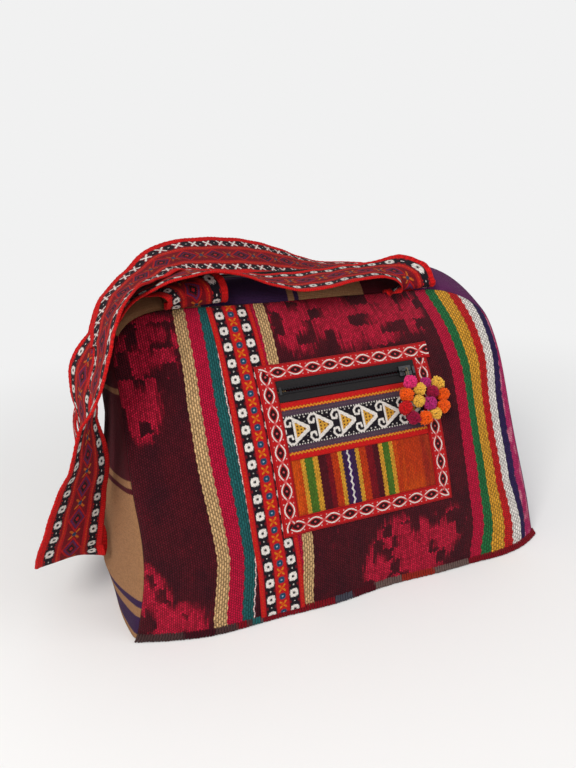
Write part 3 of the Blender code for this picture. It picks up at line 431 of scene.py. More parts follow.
def handle_material():
    """The handles' band. Its reverse shows the same rows in duller yarn, with crosses for flowers."""
    cloth = Cloth("handle_weave", RED)
    fine, (u, v), chance = cloth.stitches(cloth.u, cloth.v, 0.85, 0.85)
    period = 15.7
    wide = u.size()
    face = cloth.side.above(0.0)
    back = face.rest()
    row = wide - 18.3
    here = v.wrap(period)
    half = (v + period / 2).wrap(period)
    black = wide.between(14.0, 22.6)
    cloth.over(black * face, BLACK)
    cloth.over(black * back, DEEP_RED)
    cloth.over(length(row, half).below(4.6, 0.3) * black * back, BLACK)
    cloth.over(flower(row, here, 3.6, 1.15) * black * face, WHITE)
    cloth.over(cross(row, here, 4.0, 1.2) * black * back, WHITE)
    cloth.over(length(row, half).below(0.7, 0.2) * black, WHITE)
    cloth.over(length(row.size() - 3.4, half.size() - 1.4).below(0.7, 0.2) * black * face, RED)
    stitch = (v + wide).wrap(2.6).size().below(0.75, 0.2)
    cloth.over(wide.between(10.8, 12.2) * stitch * 0.7, ORANGE)
    cloth.over(wide.between(9.0, 9.7, 0.15), DEEP_RED)
    cloth.over(wide.between(13.1, 13.8, 0.15), DEEP_RED)
    # the middle row's diamonds are twice as long as a flower's step
    centre = wide.below(8.8)
    cloth.over(centre, DEEP_RED)
    tall = v.wrap(period * 2)
    between = (v + period).wrap(period * 2)
    diamond = wide * 1.5 + tall.size()
    cloth.over((diamond - 12.2).size().below(1.0, 0.3) * centre, RED)
    cloth.over(diamond.between(7.6, 10.2) * centre * face, VIOLET)
    cloth.over(diamond.between(7.6, 10.2) * centre * back, PURPLE)
    cloth.over(diamond.below(5.6) * centre, BLACK)
    cloth.over(diamond.below(2.4) * centre, RED)
    cloth.over(cross(u, between, 4.8, 1.3) * centre * (face * 0.5 + 0.5), (0.640, 0.130, 0.010))
    cloth.over(cross(u, between, 1.8, 1.3) * centre, BLUE)
    weft = v.wrap(1.9).size().step(0.3, 0.95)
    selvedge = wide.above(23.0)
    cloth.over(selvedge, BRIGHT_RED)
    bulge = fine * selvedge.rest() + selvedge * weft
    cloth.shade(bulge, chance, dark=0.60, spread=0.4)
    return cloth.finish(bulge, 0.34)


def ribbon_material():
    """The eye ribbon round the pocket: a white chain of eyes on red."""
    cloth = Cloth("ribbon", RED)
    fine, (u, v), chance = cloth.stitches(cloth.u, cloth.v, 0.62, 0.62)
    period = 16.8
    swing = (v * (math.pi / period)).sine().size()
    local = (v + period / 2).wrap(period)
    cloth.over(u.size().above(6.7), DEEP_RED)
    cloth.over(u.size().above(7.3), BRIGHT_RED)
    curve = u.size() - swing * 4.4
    line = curve.size().below(0.62, 0.25)
    cloth.over(line, WHITE)
    cloth.over(line * swing.below(0.30, 0.10), ROSE)
    eye = (u * u * 0.105 + local.size() * 0.205).below(1.0, 0.08)
    cloth.over(eye, (0.030, 0.006, 0.008))
    cloth.over(length(u, local).below(0.95, 0.25), ROSE)
    corner = (v.wrap(period).size() - 2.6).size() + (u.size() - 4.6).size()
    cloth.over(corner.below(0.62, 0.2), PALE_PINK)
    cloth.shade(fine, chance, dark=0.66, spread=0.3)
    return cloth.finish(fine, 0.25)


HOOK_STEP = 22.2
HOOK_TIP = -1.6
HOOK_STROKES = [((0.0, 0.6), (-16.6, 11.6)), ((-16.6, 11.6), (-20.2, 11.2)), ((-20.2, 11.2), (-22.6, 8.2)),
                ((-22.6, 8.2), (-21.8, 4.6)), ((-21.8, 4.6), (-18.0, 4.2)), ((-18.0, 4.2), (-17.4, 7.2))]


def hook_material():
    """The black band over the pocket: arrows with curling hooks, in white and gold."""
    cloth = Cloth("hook_band", BLACK)
    fine, (u, v), chance = cloth.stitches(cloth.u, cloth.v, 0.7, 0.7)
    rise = v.size()
    dots = length((u + 1.5).wrap(4.4), (rise + 2.6).wrap(4.4)).below(0.62, 0.2)
    cloth.over(dots * rise.between(3.0, 12.6), WHITE)
    place = ((u - HOOK_TIP) / HOOK_STEP).fract() * HOOK_STEP - HOOK_STEP
    strokes = None
    for shift in (0.0, HOOK_STEP):
        for start, end in HOOK_STROKES:
            reach = segment(place - shift, rise, start, end)
            strokes = reach if strokes is None else strokes.least(reach)
    cloth.over(strokes.below(2.9, 0.2), BLACK)
    inside = -place - rise * 1.42
    cloth.over(inside.above(0.4, 0.3) * place.above(-15.5, 0.3) * rise.below(9.6, 0.3), WHITE)
    gold = inside.above(3.4, 0.3) * place.above(-13.6, 0.3)
    cloth.over(gold, (0.720, 0.360, 0.040))
    cloth.over(gold * length((place + 1.5).wrap(3.4), v.wrap(3.0)).below(0.8, 0.2), DARK_MAROON)
    cloth.over(strokes.below(0.95, 0.2), WHITE)
    ticks = (u + 1.0).wrap(2.6).size().below(0.6, 0.2) * rise.between(12.2, 13.2, 0.2)
    cloth.over(ticks, WHITE)
    # its edges: grey purple with a fine dotted line, then an orange zigzag on red
    cloth.over(rise.above(13.4), PLUM)
    dotted = (u.wrap(1.8).size() - 0.45).below(0.0, 0.2) * rise.between(15.6, 16.4, 0.15)
    cloth.over(dotted * 0.7, GREY)
    zigzag = (rise - 19.6 + (u.wrap(3.4).size() - 0.85) * 0.9).size()
    cloth.over(rise.above(18.4), RED)
    cloth.over(zigzag.below(0.8, 0.2), (0.740, 0.280, 0.020))
    cloth.over(rise.above(21.2), BRIGHT_RED)
    cloth.shade(fine, chance, dark=0.66, spread=0.3)
    return cloth.finish(fine, 0.30)


STRIPE_BANDS = [
    (-60.4, None), (-56.6, GOLD), (-49.1, LEAF), (-44.2, GOLD), (-36.5, MAROON), (-31.5, DEEP_RED),
    (-25.0, RUST), (-21.2, GOLD), (-16.1, PURPLE), (-14.3, WHITE), (-8.2, PURPLE), (-4.4, GOLD),
    (2.4, RUST), (9.4, DEEP_RED), (15.2, MAROON), (19.2, GOLD), (25.8, LEAF), (29.6, GOLD), (110.0, RUST)]


def stripe_material():
    """The striped cloth of the pocket."""
    cloth = Cloth("stripe_cloth", ORANGE)
    fine, (u, v), chance = cloth.stitches(cloth.u, cloth.v, 0.9, 1.6)
    edge = cloth.u + serrate(cloth.v, 3.6, 0.45)
    cloth.over(u.step(-66.0, -62.0) * 0.5, RUST)
    cloth.stripes(edge, STRIPE_BANDS, 0.3)
    wave = cloth.u + serrate(cloth.v, 6.4, 0.9)
    cloth.over(cloth.u.between(-18.2, -12.2), (0.045, 0.012, 0.090))
    cloth.over(wave.between(-16.0, -14.3), WHITE)
    faded = cloth.noise(u * 0.22, v * 0.02, 1.0, 2.0)
    cloth.over(edge.above(30.0) * faded.step(0.45, 0.62) * 0.7, ORANGE)
    cloth.over(edge.above(57.5, 1.5) * 0.55, DEEP_RED)
    wide, _, wide_chance = cloth.stitches(cloth.u, cloth.v, 1.8, 3.2)
    cloth.shade(fine * 0.5 + wide * 0.5, chance * 0.5 + wide_chance * 0.5, dark=0.5, spread=0.6)
    return cloth.finish(fine + wide, 0.40)


def binding_material():
    """Overcast yarn along the bottom edge, in lengths of different colours."""
    cloth = Cloth("binding_yarn", DARK_GREY)
    v = cloth.v
    bands = [(-166.0, None), (-140.0, DARK_MAROON), (-121.0, DARK_GREY), (-112.0, DEEP_RED),
             (-107.0, DARK_GREY),
             (-99.0, TEAL), (-30.0, DEEP_RED), (-12.0, SLATE), (12.0, MAROON), (40.0, GREY),
             (74.0, (0.300, 0.022, 0.012)), (112.0, GREY), (250.0, DEEP_RED)]
    cloth.stripes(v, bands, 1.2)
    strand = cloth.noise(cloth.u * 2.0, v * 0.5, 1.0, 2.0)
    cloth.shade(strand, strand, dark=0.45, spread=0.4)
    return cloth.finish(strand, 0.35)


def yarn_material(name, colour):
    """Cut yarn: fibres of a slightly different tone each, with painted shade darkening them in the depth of
    the ball.
    """
    cloth = Cloth(name, colour, roughness=1.0, sheen=0.08)
    cloth.shade(cloth.v, cloth.u, dark=0.35, spread=0.45)
    fibre = cloth.noise(cloth.u * 9.0, cloth.v * 9.0, 1.0, 2.0)
    return cloth.finish(fibre, 0.15)


def hard_material(name, colour, roughness, metallic=0.0, grain=0.8, stretch=1.0, depth_mm=0.2, rib=None):
    """A hard or tape surface with a fine grain, drawn in the object's own millimetres."""
    cloth = Cloth(name, colour, roughness, sheen=0.0, specular=0.5 if metallic else 0.15)
    cloth.shader.inputs["Metallic"].default_value = metallic
    place = add_node(cloth.tree, "ShaderNodeTexCoord").outputs["Object"]
    split = add_node(cloth.tree, "ShaderNodeSeparateXYZ", place)
    x, y, z = (Field(cloth.tree, axis) * MM for axis in split.outputs)
    spots = cloth.noise(x * stretch, y, grain, 3.0, z)
    cloth.shade(spots, spots, dark=0.6, spread=0.4)
    height = x.wrap(rib).size() * 1.8 + spots if rib else spots
    return cloth.finish(height, depth_mm)


# Shapes of the bag

def unit(vectors):
    vectors = np.asarray(vectors, float)
    return vectors / np.linalg.norm(vectors, axis=-1, keepdims=True)


def smooth_step(low, high, value):
    share = np.clip((value - low) / (high - low), 0.0, 1.0)
    return share * share * (3.0 - 2.0 * share)


PROFILE_STEPS = 400
PROFILE_S = np.linspace(0.0, PANEL_HEIGHT, PROFILE_STEPS + 1)
LEAN = LEAN_FOOT + LEAN_GAIN * (PROFILE_S / PANEL_HEIGHT) ** LEAN_POWER
STEP = PANEL_HEIGHT / PROFILE_STEPS
PROFILE_Y = np.concatenate([[0.0], np.cumsum(np.sin(LEAN[:-1]) * STEP)])
PROFILE_Z = np.concatenate([[0.0], np.cumsum(np.cos(LEAN[:-1]) * STEP)])
TOP_Z = PROFILE_Z[-1] + PANEL_FOOT
HALF_LENGTH_TOP = HALF_LENGTH_WAIST - SHOULDER_RADIUS


def half_length(s):
    flare = np.clip(1.0 - s / WAIST_START, 0.0, 1.0)
    value = HALF_LENGTH_WAIST + (HALF_LENGTH_BASE - HALF_LENGTH_WAIST) * flare ** 2
    rise = np.clip(s - (PANEL_HEIGHT - SHOULDER_RADIUS), 0.0, SHOULDER_RADIUS)
    return value - SHOULDER_RADIUS + np.sqrt(SHOULDER_RADIUS ** 2 - rise ** 2)


def setback(x):
    past = np.clip((np.abs(x) - HALF_LENGTH_TOP) / (HALF_LENGTH_BASE - HALF_LENGTH_TOP), 0.0, None)
    return END_SETBACK * past ** 2


def sink(x, s):
    return TOP_SLOPE * x * smooth_step(SLOPE_START, PANEL_HEIGHT, s)


def front_point(x, s):
    y = -BASE_DEPTH / 2 + np.interp(s, PROFILE_S, PROFILE_Y) + setback(x)
    z = PANEL_FOOT + np.interp(s, PROFILE_S, PROFILE_Z) - sink(x, s)
    return np.stack([x + 0.0 * s, y, z], axis=-1)


def front_normal(x, s):
    small = 0.0015
    along = front_point(x + small, s) - front_point(x - small, s)
    up = front_point(x, np.minimum(s + small, PANEL_HEIGHT)) - front_point(x, np.maximum(s - small, 0.0))
    return unit(np.cross(along, up))


def on_front(x, s, height):
    return front_point(x, s) + front_normal(x, s) * height[..., None]


def back_point(x, s):
    share = s / PANEL_HEIGHT
    y = BASE_DEPTH / 2 + (BACK_TOP_Y - BASE_DEPTH / 2) * share
    y = y + BACK_BULGE * np.clip(np.sin(math.pi * share), 0.0, 1.0) ** 1.6 - setback(x)
    z = PANEL_FOOT + (TOP_Z - PANEL_FOOT) * share - sink(x, s)
    return np.stack([x + 0.0 * s, y, z], axis=-1)


def gusset_bulge(share):
    return np.interp(share, *np.transpose(GUSSET_BULGE))


def row_heights():
    straight = np.linspace(0.0, PANEL_HEIGHT - SHOULDER_RADIUS, SIDE_ROWS + 1)
    angles = np.linspace(0.0, math.pi / 2, SHOULDER_ROWS + 1)[1:]
    return np.concatenate([straight, PANEL_HEIGHT - SHOULDER_RADIUS + SHOULDER_RADIUS * np.sin(angles)])


def panel_coordinates():
    shares, s = np.meshgrid(np.linspace(-1.0, 1.0, PANEL_COLUMNS + 1), row_heights())
    return half_length(s) * shares, s


def gusset_grid(side):
    share, s = np.meshgrid(np.linspace(0.0, 1.0, GUSSET_COLUMNS + 1), row_heights())
    x = side * half_length(s)
    line = front_point(x, s) * (1.0 - share)[..., None] + back_point(x, s) * share[..., None]
    angle = np.arcsin(np.clip((s - (PANEL_HEIGHT - SHOULDER_RADIUS)) / SHOULDER_RADIUS, 0.0, 1.0))
    outward = np.stack([side * np.cos(angle), 0.0 * angle, np.sin(angle)], axis=-1)
    bulge = gusset_bulge(s / PANEL_HEIGHT) * 4.0 * share * (1.0 - share)
    return line + outward * bulge[..., None]


def top_coordinates(low, high):
    x = np.linspace(-HALF_LENGTH_TOP, HALF_LENGTH_TOP, PANEL_COLUMNS + 1)
    return np.meshgrid(x, np.linspace(low, high, TOP_COLUMNS + 1))


def top_point(x, share):
    s = np.full(x.shape, PANEL_HEIGHT)
    point = front_point(x, s) * (1.0 - share)[..., None] + back_point(x, s) * share[..., None]
    point[..., 2] += TOP_BULGE * 4.0 * share * (1.0 - share)
    return point


def grid_normals(grid, toward):
    normals = unit(np.cross(np.gradient(grid, axis=1), np.gradient(grid, axis=0)))
    middle = tuple(size // 2 for size in grid.shape[:2])
    if np.dot(normals[middle], toward) < 0.0:
        normals = -normals
    return normals


def key_of(point):
    return tuple(int(round(value * 1e6)) for value in point)


def add_object(name, data):
    made = bpy.data.objects.new(name, data)
    bpy.context.scene.collection.objects.link(made)
    return made


def mesh_piece(name, node, points, cloth, faces, material, body="bag"):
    """A smooth piece in place of a node; cloth is each point's place on its cloth."""
    mesh = bpy.data.meshes.new(name)
    mesh.from_pydata(np.reshape(points, (-1, 3)).tolist(), [], faces)
    attribute = mesh.attributes.new("cloth", "FLOAT_VECTOR", "POINT")
    attribute.data.foreach_set("vector", np.asarray(cloth, np.float32).ravel())
    mesh.materials.append(material)
    mesh.shade_smooth()
    made = add_object(name, mesh)
    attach(made, body)
    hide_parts(node)


def grid_faces(rows, columns, flip=False):
    faces = []
    for row in range(rows - 1):
        for column in range(columns - 1):
            start = row * columns + column
            face = (start, start + 1, start + columns + 1, start + columns)
            faces.append(tuple(reversed(face)) if flip else face)
    return faces


def tube_faces(rings, sides, base=0, start_cap=True):
    """Faces of a tube of rings that follow each other, closed at its end and, if asked, at its start."""
    faces = []
    for ring in range(rings - 1):
        for side in range(sides):
            here = base + ring * sides
            after = (side + 1) % sides
            faces.append((here + side, here + after, here + sides + after, here + sides + side))
    if start_cap:
        faces.append(tuple(base + side for side in reversed(range(sides))))
    faces.append(tuple(base + (rings - 1) * sides + side for side in range(sides)))
    return faces


def sheet_piece(name, node, grid, cloth, toward, material):
    """One sheet of cloth from a grid of points; its faces look the way of toward."""
    rows, columns = grid.shape[:2]
    middle = grid[rows // 2, columns // 2]
    first = np.cross(grid[rows // 2, columns // 2 + 1] - middle, grid[rows // 2 + 1, columns // 2] - middle)
    faces = grid_faces(rows, columns, flip=np.dot(first, toward) < 0.0)
    mesh_piece(name, node, grid, cloth, faces, material)


def drape(points):
    """How far the soft walls stray from the plain form, as a smooth field over the bag."""
    x, y, z = np.moveaxis(points, -1, 0)
    pocket = smooth_step(0.02, 0.06, np.maximum(np.abs(x - 0.015) - 0.085, 0.0))
    front = smooth_step(0.03, -0.03, y)
    quiet = 1.0 - front * (1.0 - np.clip(pocket, 0.0, 1.0)) * smooth_step(0.035, 0.075, z)
    top = smooth_step(0.285, 0.25, z)
    size = 0.0016 * quiet * (0.25 + 0.75 * top)
    sideways = np.sin(37.0 * z + 21.0 * y + 1.0) * 0.8
    outward = np.sin(29.0 * x + 24.0 * z) + 0.6 * np.sin(61.0 * x)
    shift = np.stack([sideways, outward, 0.0 * x], axis=-1)
    return shift * size[..., None]


def turn_in(grid, outward, depth):
    """Adds a rim round a grid of points, turned in behind its edge."""
    around = ((1, 1), (1, 1), (0, 0))
    padded = np.pad(grid, around, mode="edge")
    rim = np.ones(padded.shape[:2])
    rim[1:-1, 1:-1] = 0.0
    return padded - np.pad(outward, around, mode="edge") * (rim * depth)[..., None]


def rimmed_cloth(u, v):
    """The cloth attribute of a grid with a rim: its places across and along, on the face."""
    rimmed = np.pad(np.stack([u, v], axis=-1), ((1, 1), (1, 1), (0, 0)), mode="edge")
    return np.concatenate([rimmed, np.ones((*rimmed.shape[:2], 1))], axis=-1)


def dip_edges(grid, normals, mitre, seams):
    """Sink the named edges into their seams, and turn a rim in behind each edge."""
    rows, columns = grid.shape[:2]
    run = np.linalg.norm(np.diff(grid, axis=1), axis=-1)
    along = np.concatenate([np.zeros((rows, 1)), np.cumsum(run, axis=1)], axis=1)
    rise = np.linalg.norm(np.diff(grid, axis=0), axis=-1)
    up = np.concatenate([np.zeros((1, columns)), np.cumsum(rise, axis=0)], axis=0)
    distance = {"left": along, "right": along[:, -1:] - along, "foot": up, "head": up[-1:] - up}
    nearest = np.min([distance[seam] for seam in seams], axis=0)
    dip = SEAM_DIP * np.exp(-(nearest / SEAM_WIDTH) ** 2)
    lean = np.clip(np.sum(mitre * normals, axis=-1), 0.5, 1.0)
    moved = grid - mitre * (dip / lean)[..., None]
    return turn_in(moved, mitre, RIM_DEPTH)


# How the woven stripes of the front wander, as heights up the cloth with the stripe's place there

LEFT_STRIPE = [(11, -139.7), (63, -131.8), (110, -132.3), (198, -134.6), (278, -128.5)]
CREAM_STRIPE = [(14, -58.8), (65, -53.4), (223, -55.5), (281, -54.0)]
GREEN_STRIPE = [(12, 128.2), (31, 132.0), (115, 131.7), (145, 133.3), (190, 136.5), (222, 133.9),
                (278, 129.5)]
NAVY_STRIPE = [(7, 180.5), (24, 180.0), (70, 167.9), (118, 168.6), (156, 170.4), (194, 176.0), (250, 177.0)]
STRIPES = {LEFT_EDGE: LEFT_STRIPE, RIGHT_CREAM: CREAM_STRIPE, RIGHT_GROUP: GREEN_STRIPE, 170.0: NAVY_STRIPE}
CLOTH_LEFT = -205.0
CLOTH_RIGHT = 215.0


def woven_across(x, s):
    """The place across the weave, in millimetres, of a point at x and s on the front."""
    own = [CLOTH_LEFT, *STRIPES, CLOTH_RIGHT]
    result = np.zeros(x.shape)
    for row in range(x.shape[0]):
        places = [np.interp(s[row, 0] * MM, *np.transpose(stripe)) for stripe in STRIPES.values()]
        result[row] = np.interp(x[row] * MM, [CLOTH_LEFT, *places, CLOTH_RIGHT], own)
    return result


WALL_EDGES = (np.s_[0, :], np.s_[-1, :], np.s_[:, 0], np.s_[:, -1])


def make_walls(front, back, side):
    zip_share = MAIN_ZIP_WIDTH / 2 / (BACK_TOP_Y - (PROFILE_Y[-1] - BASE_DEPTH / 2))
    x, s = panel_coordinates()
    side_u, side_v = np.meshgrid(np.linspace(0.0, 200.0, GUSSET_COLUMNS + 1), row_heights() * MM)
    seams = ("head", "left", "right")
    walls = {
        "front_panel": (front_point(x, s), FRONT_WARD, seams, woven_across(x, s), s * MM, front),
        "back_panel": (back_point(x, s), (0.0, 1.0, 0.0), seams, x * MM, s * MM, back),
        "left_gusset": (gusset_grid(-1.0), (-1.0, 0.0, 0.0), seams, side_u, side_v, side),
        "right_gusset": (gusset_grid(1.0), (1.0, 0.0, 0.0), seams, side_u, side_v * 0.5 + 540.0, side),
    }
    for name, low, high in (("front", 0.0, 0.5 - zip_share), ("back", 0.5 + zip_share, 1.0)):
        x, share = top_coordinates(low, high)
        walls["top_strip_" + name] = (top_point(x, share), (0.0, 0.0, 1.0), (*seams, "foot"), share * 90.0,
                                      (x + HALF_LENGTH_TOP) * MM + 272.0, side)
    normals = {}
    shared = {}
    for name, (grid, toward, *_) in walls.items():
        normals[name] = grid_normals(grid, toward)
        for edge in WALL_EDGES:
            for point, normal in zip(grid[edge], normals[name][edge]):
                shared.setdefault(key_of(point), []).append(normal)
    rim = {}
    for name, (grid, toward, seams, u, v, material) in walls.items():
        mitre = normals[name].copy()
        for edge in WALL_EDGES:
            mitre[edge] = [unit(np.sum(shared[key_of(point)], axis=0)) for point in grid[edge]]
        rim[name] = (grid[0] + drape(grid[0]), mitre[0])
        points = dip_edges(grid + drape(grid), normals[name], mitre, seams)
        sheet_piece(name + "_cloth", name, points, rimmed_cloth(u, v), toward, material)
    return rim


def make_base(rim, material):
    """The bottom panel, drawn in a little from the walls' lower edges."""
    outline = []
    order = {"front_panel": 1, "right_gusset": 1, "back_panel": -1, "left_gusset": -1}
    for name, direction in order.items():
        points, normals = rim[name]
        for point, normal in list(zip(points, normals))[::direction][:-1]:
            flat = unit(np.array([normal[0], normal[1]]))
            outline.append((point[0] - flat[0] * 0.002, point[1] - flat[1] * 0.002))
    outline = np.array(outline[::3])
    rings = []
    for share in (1.0, 0.985, 0.9, 0.7, 0.4, 0.1):
        level = 0.0018 if share == 1.0 else 0.0004
        rings.append(np.column_stack([outline * share, np.full(len(outline), level)]))
    grid = np.concatenate([np.array(rings), np.array(rings)[:, :1]], axis=1)
    cloth = np.stack([grid[..., 0] * MM - 500.0, grid[..., 1] * MM, np.ones(grid.shape[:2])], axis=-1)
    rows, columns = grid.shape[:2]
    faces = grid_faces(rows, columns)
    last = (rows - 1) * columns
    faces.append(tuple(range(last, last + columns - 1)))
    mesh_piece("base_cloth", "base_panel", grid, cloth, faces, material)


def make_binding(name, node, rim, material):
    """Overcast stitches that wrap the lower edge of a panel, each a slanted bead of yarn."""
    points, normals = rim
    lengths = np.concatenate([[0.0], np.cumsum(np.linalg.norm(np.diff(points, axis=0), axis=1))])
    count = int(lengths[-1] / STITCH_PITCH)
    turns, sides = 7, 6
    vertices, cloth, faces = [], [], []
    chance = random.Random(7)
    for index in range(count):
        here = 0.002 + (lengths[-1] - 0.004) * index / (count - 1)
        reach = 0.0030 + chance.uniform(-0.0003, 0.0004)
        slant = 0.0026 + chance.uniform(-0.0005, 0.0005)
        faces += tube_faces(turns, sides, len(vertices))
        for turn in range(turns):
            share = turn / (turns - 1)
            angle = math.radians(-35.0 + 205.0 * share)
            place = here + slant * (share - 0.5)
            point = np.array([np.interp(place, lengths, points[:, axis]) for axis in range(3)])
            normal = unit([np.interp(place, lengths, normals[:, axis]) for axis in range(2)] + [0.0])
            along = np.array([-normal[1], normal[0], 0.0])
            centre = point + normal * (math.cos(angle) * 0.0018 + 0.0004)
            centre[2] = 0.0036 + reach * math.sin(angle - math.radians(85.0)) * 0.85
            ring = unit([*(normal[:2] * math.cos(angle)), -math.cos(angle - math.radians(5.0)) * 0.3 + 0.2])
            thick = STITCH_RADIUS * (0.55 + 0.45 * math.sin(math.pi * share))
            for side in range(sides):
                spin = 2.0 * math.pi * side / sides
                bead = centre + along * (thick * math.cos(spin) * 1.15) + ring * (thick * math.sin(spin))
                bead[2] = max(bead[2], 0.0003)
                vertices.append(bead)
                cloth.append((turn * 2.0 + index * 7.3, point[0] * MM, 1.0))
    mesh_piece(name, node, vertices, cloth, faces, material)


# Trims on the front

def front_sheet(name, node, x_values, s_values, top, middle, material):
    """A trim lying on the front, its edges rounded down to what carries it."""
    x, s = np.meshgrid(x_values, s_values)
    inside = np.min([x - x_values[0], x_values[-1] - x, s - s_values[0], s_values[-1] - s], axis=0)
    height = top - 0.0011 * (1.0 - np.clip(inside / SHEET_EDGE, 0.0, 1.0)) ** 2
    grid = on_front(x, s, height)
    points = turn_in(grid + drape(grid), front_normal(x, s), SHEET_EDGE)
    cloth = rimmed_cloth((x - middle[0]) * MM, (s - middle[1]) * MM)
    sheet_piece(name, node, points, cloth, FRONT_WARD, material)


def spread(low, high, pitch=0.0012):
    return np.linspace(low, high, max(4, int(abs(high - low) / pitch) + 1))


def make_belt(material):
    left = BELT_CENTRE_X - BELT_WIDTH / 2
    front_sheet("belt_band_cloth", "belt_band", spread(left, left + BELT_WIDTH),
                spread(0.002, PANEL_HEIGHT - 0.0015), BELT_HEIGHT, (BELT_CENTRE_X, 0.0), material)


def trim_top(x, s):
    from_edge = np.minimum(np.minimum(POCKET_RIGHT - x, s - POCKET_FOOT), POCKET_TOP - s)
    lift = POCKET_FLOOR * smooth_step(0.002, TRIM_WIDTH, from_edge)
    edge = BELT_CENTRE_X + BELT_WIDTH / 2
    over_belt = BELT_HEIGHT * (1.0 - smooth_step(edge + 0.002, edge + 0.010, x)) + 0.0003
    return np.maximum(np.maximum(lift, over_belt), 0.0003) + TRIM_THICKNESS


def make_pocket_trim(material):
    """The ribbon in four lengths, mitred at three corners and cut square over the fourth."""
    runs = {
        "top": ((POCKET_LEFT, POCKET_TOP), (POCKET_RIGHT + 0.0032, POCKET_TOP), (0, -1), True, False, 4.6),
        "foot": ((POCKET_RIGHT, POCKET_FOOT), (POCKET_LEFT, POCKET_FOOT), (0, 1), True, True, 3.0),
        "left": ((POCKET_LEFT, POCKET_FOOT), (POCKET_LEFT, POCKET_TOP), (1, 0), True, True, 2.0),
        "right": ((POCKET_RIGHT, POCKET_TOP - TRIM_WIDTH + 0.001), (POCKET_RIGHT, POCKET_FOOT), (-1, 0),
                  False, True, 9.0),
    }
    for name, (start, end, inward, cut_start, cut_end, phase) in runs.items():
        run = np.array([end[0] - start[0], end[1] - start[1]])
        size = np.linalg.norm(run)
        run = run / size
        across = np.linspace(0.0, 1.0, 15)
        along = spread(0.0, size)
        grid_across, grid_along = np.meshgrid(across, along)
        low = grid_across * TRIM_WIDTH * cut_start
        high = size - grid_across * TRIM_WIDTH * cut_end
        place = low + (high - low) * grid_along / size
        x = start[0] + run[0] * place + inward[0] * grid_across * TRIM_WIDTH
        s = start[1] + run[1] * place + inward[1] * grid_across * TRIM_WIDTH
        round_off = np.abs(grid_across * 2.0 - 1.0) ** 8 * 0.0006
        extra = 0.0009 * smooth_step(0.012, 0.004, size - place) if name == "top" else 0.0
        height = trim_top(x, s) - round_off + extra
        height = np.where(x > POCKET_RIGHT, TRIM_THICKNESS + 0.0004 + extra, height)
        points = turn_in(on_front(x, s, height), front_normal(x, s), TRIM_THICKNESS)
        cloth = rimmed_cloth((grid_across - 0.5) * TRIM_WIDTH * MM, place * MM + phase)
        sheet_piece("pocket_trim_" + name, "pocket_trim", points, cloth, FRONT_WARD, material)


def make_pocket_cloths(stripe, hook):
    foot = POCKET_FOOT + TRIM_WIDTH
    head = POCKET_TOP - TRIM_WIDTH
    zip_foot = head - POCKET_ZIP_WIDTH
    band_foot = zip_foot - HOOK_BAND_HEIGHT
    middle_x = (POCKET_LEFT + POCKET_RIGHT) / 2
    band_middle = (zip_foot + band_foot) / 2
    x_values = spread(POCKET_LEFT + TRIM_WIDTH + 0.0002, POCKET_RIGHT - TRIM_WIDTH - 0.0002)
    for name, low, high, middle, material in (
            ("pocket_stripe_cloth", foot, band_foot, 0.0, stripe),
            ("pocket_hook_band", band_foot, zip_foot, band_middle, hook)):
        front_sheet(name + "_sheet", name, x_values, spread(low, high), POCKET_FLOOR + TRIM_THICKNESS,
                    (middle_x, middle), material)


# Handles: rows from their +X ends, each the middle of the band in millimetres and the direction across it

BACK_HANDLE_ROUTE = [
    (108, 105, 252, -1, 0, 0), (107.5, 111, 258, -1, -0.05, 0),
    (99.5, 124, 261.5, -0.71, -0.71, 0), (79, 131, 263, -0.05, -1, -0.05),
    (45, 123, 268, 0, -0.96, -0.25), (5, 109, 279, 0, -0.89, -0.45),
    (-35, 92, 289.5, 0, -0.86, -0.51), (-76, 77, 295.5, 0, -0.86, -0.51),
    (-106, 67, 298, 0.02, -0.9, -0.42), (-128, 54, 296, 0.02, -0.95, -0.28),
    (-148, 35, 289, 0.02, -0.99, -0.14), (-164, 17, 283, 0.05, -1, -0.04),
    (-177, -6, 276, 0.1, -0.99, 0.05), (-187, -29, 266, 0.15, -0.98, 0.12),
    (-193.5, -41.9, 254.6, 0.2, -0.97, 0.15), (-196.4, -45.9, 243.1, 0.18, -0.97, 0.17),
    (-200.8, -50.1, 231.1, 0.15, -0.96, 0.18), (-206.3, -52.2, 217.8, 0.11, -0.96, 0.18),
    (-209, -53.5, 207.5, -0.01, -0.95, 0.18), (-212.7, -53.7, 196.9, -0.2, -0.93, 0.18),
    (-216.4, -53.9, 185.8, -0.28, -0.92, 0.18), (-218.4, -52.7, 172.3, -0.38, -0.88, 0.2),
    (-220.5, -49.7, 156.8, -0.53, -0.8, 0.22), (-225.3, -46, 138.4, -0.66, -0.7, 0.22),
    (-232.1, -43.8, 118.9, -0.74, -0.62, 0.22), (-239.5, -41, 94.7, -0.82, -0.5, 0.22),
    (-245.9, -37.3, 75, -0.89, -0.36, 0.16), (-248, -32, 65, -0.93, -0.25, 0.08),
    (-247, -24, 61, -0.95, -0.1, 0.03), (-244, -15, 65, -0.9, 0.2, 0.02),
    (-242, 0, 73, -0.66, 0.7, -0.1), (-238, 30, 95, -0.3, 0.92, -0.25),
    (-231, 60, 120, -0.1, 0.95, -0.28), (-226, 85, 152, 0, 0.99, -0.12),
    (-206, 90, 178, 0.04, 1, 0), (-203.5, 93, 205, 0.08, 1, 0),
    (-197.5, 97.2, 238, 0.12, 1, -0.06), (-178, 109.2, 264, 0.1, 1, -0.15),
    (-140, 129, 270, 0.05, 1, -0.12), (-116.5, 122.5, 264, 0.71, 0.71, 0),
    (-108.5, 111, 261, 1, 0.05, 0)]
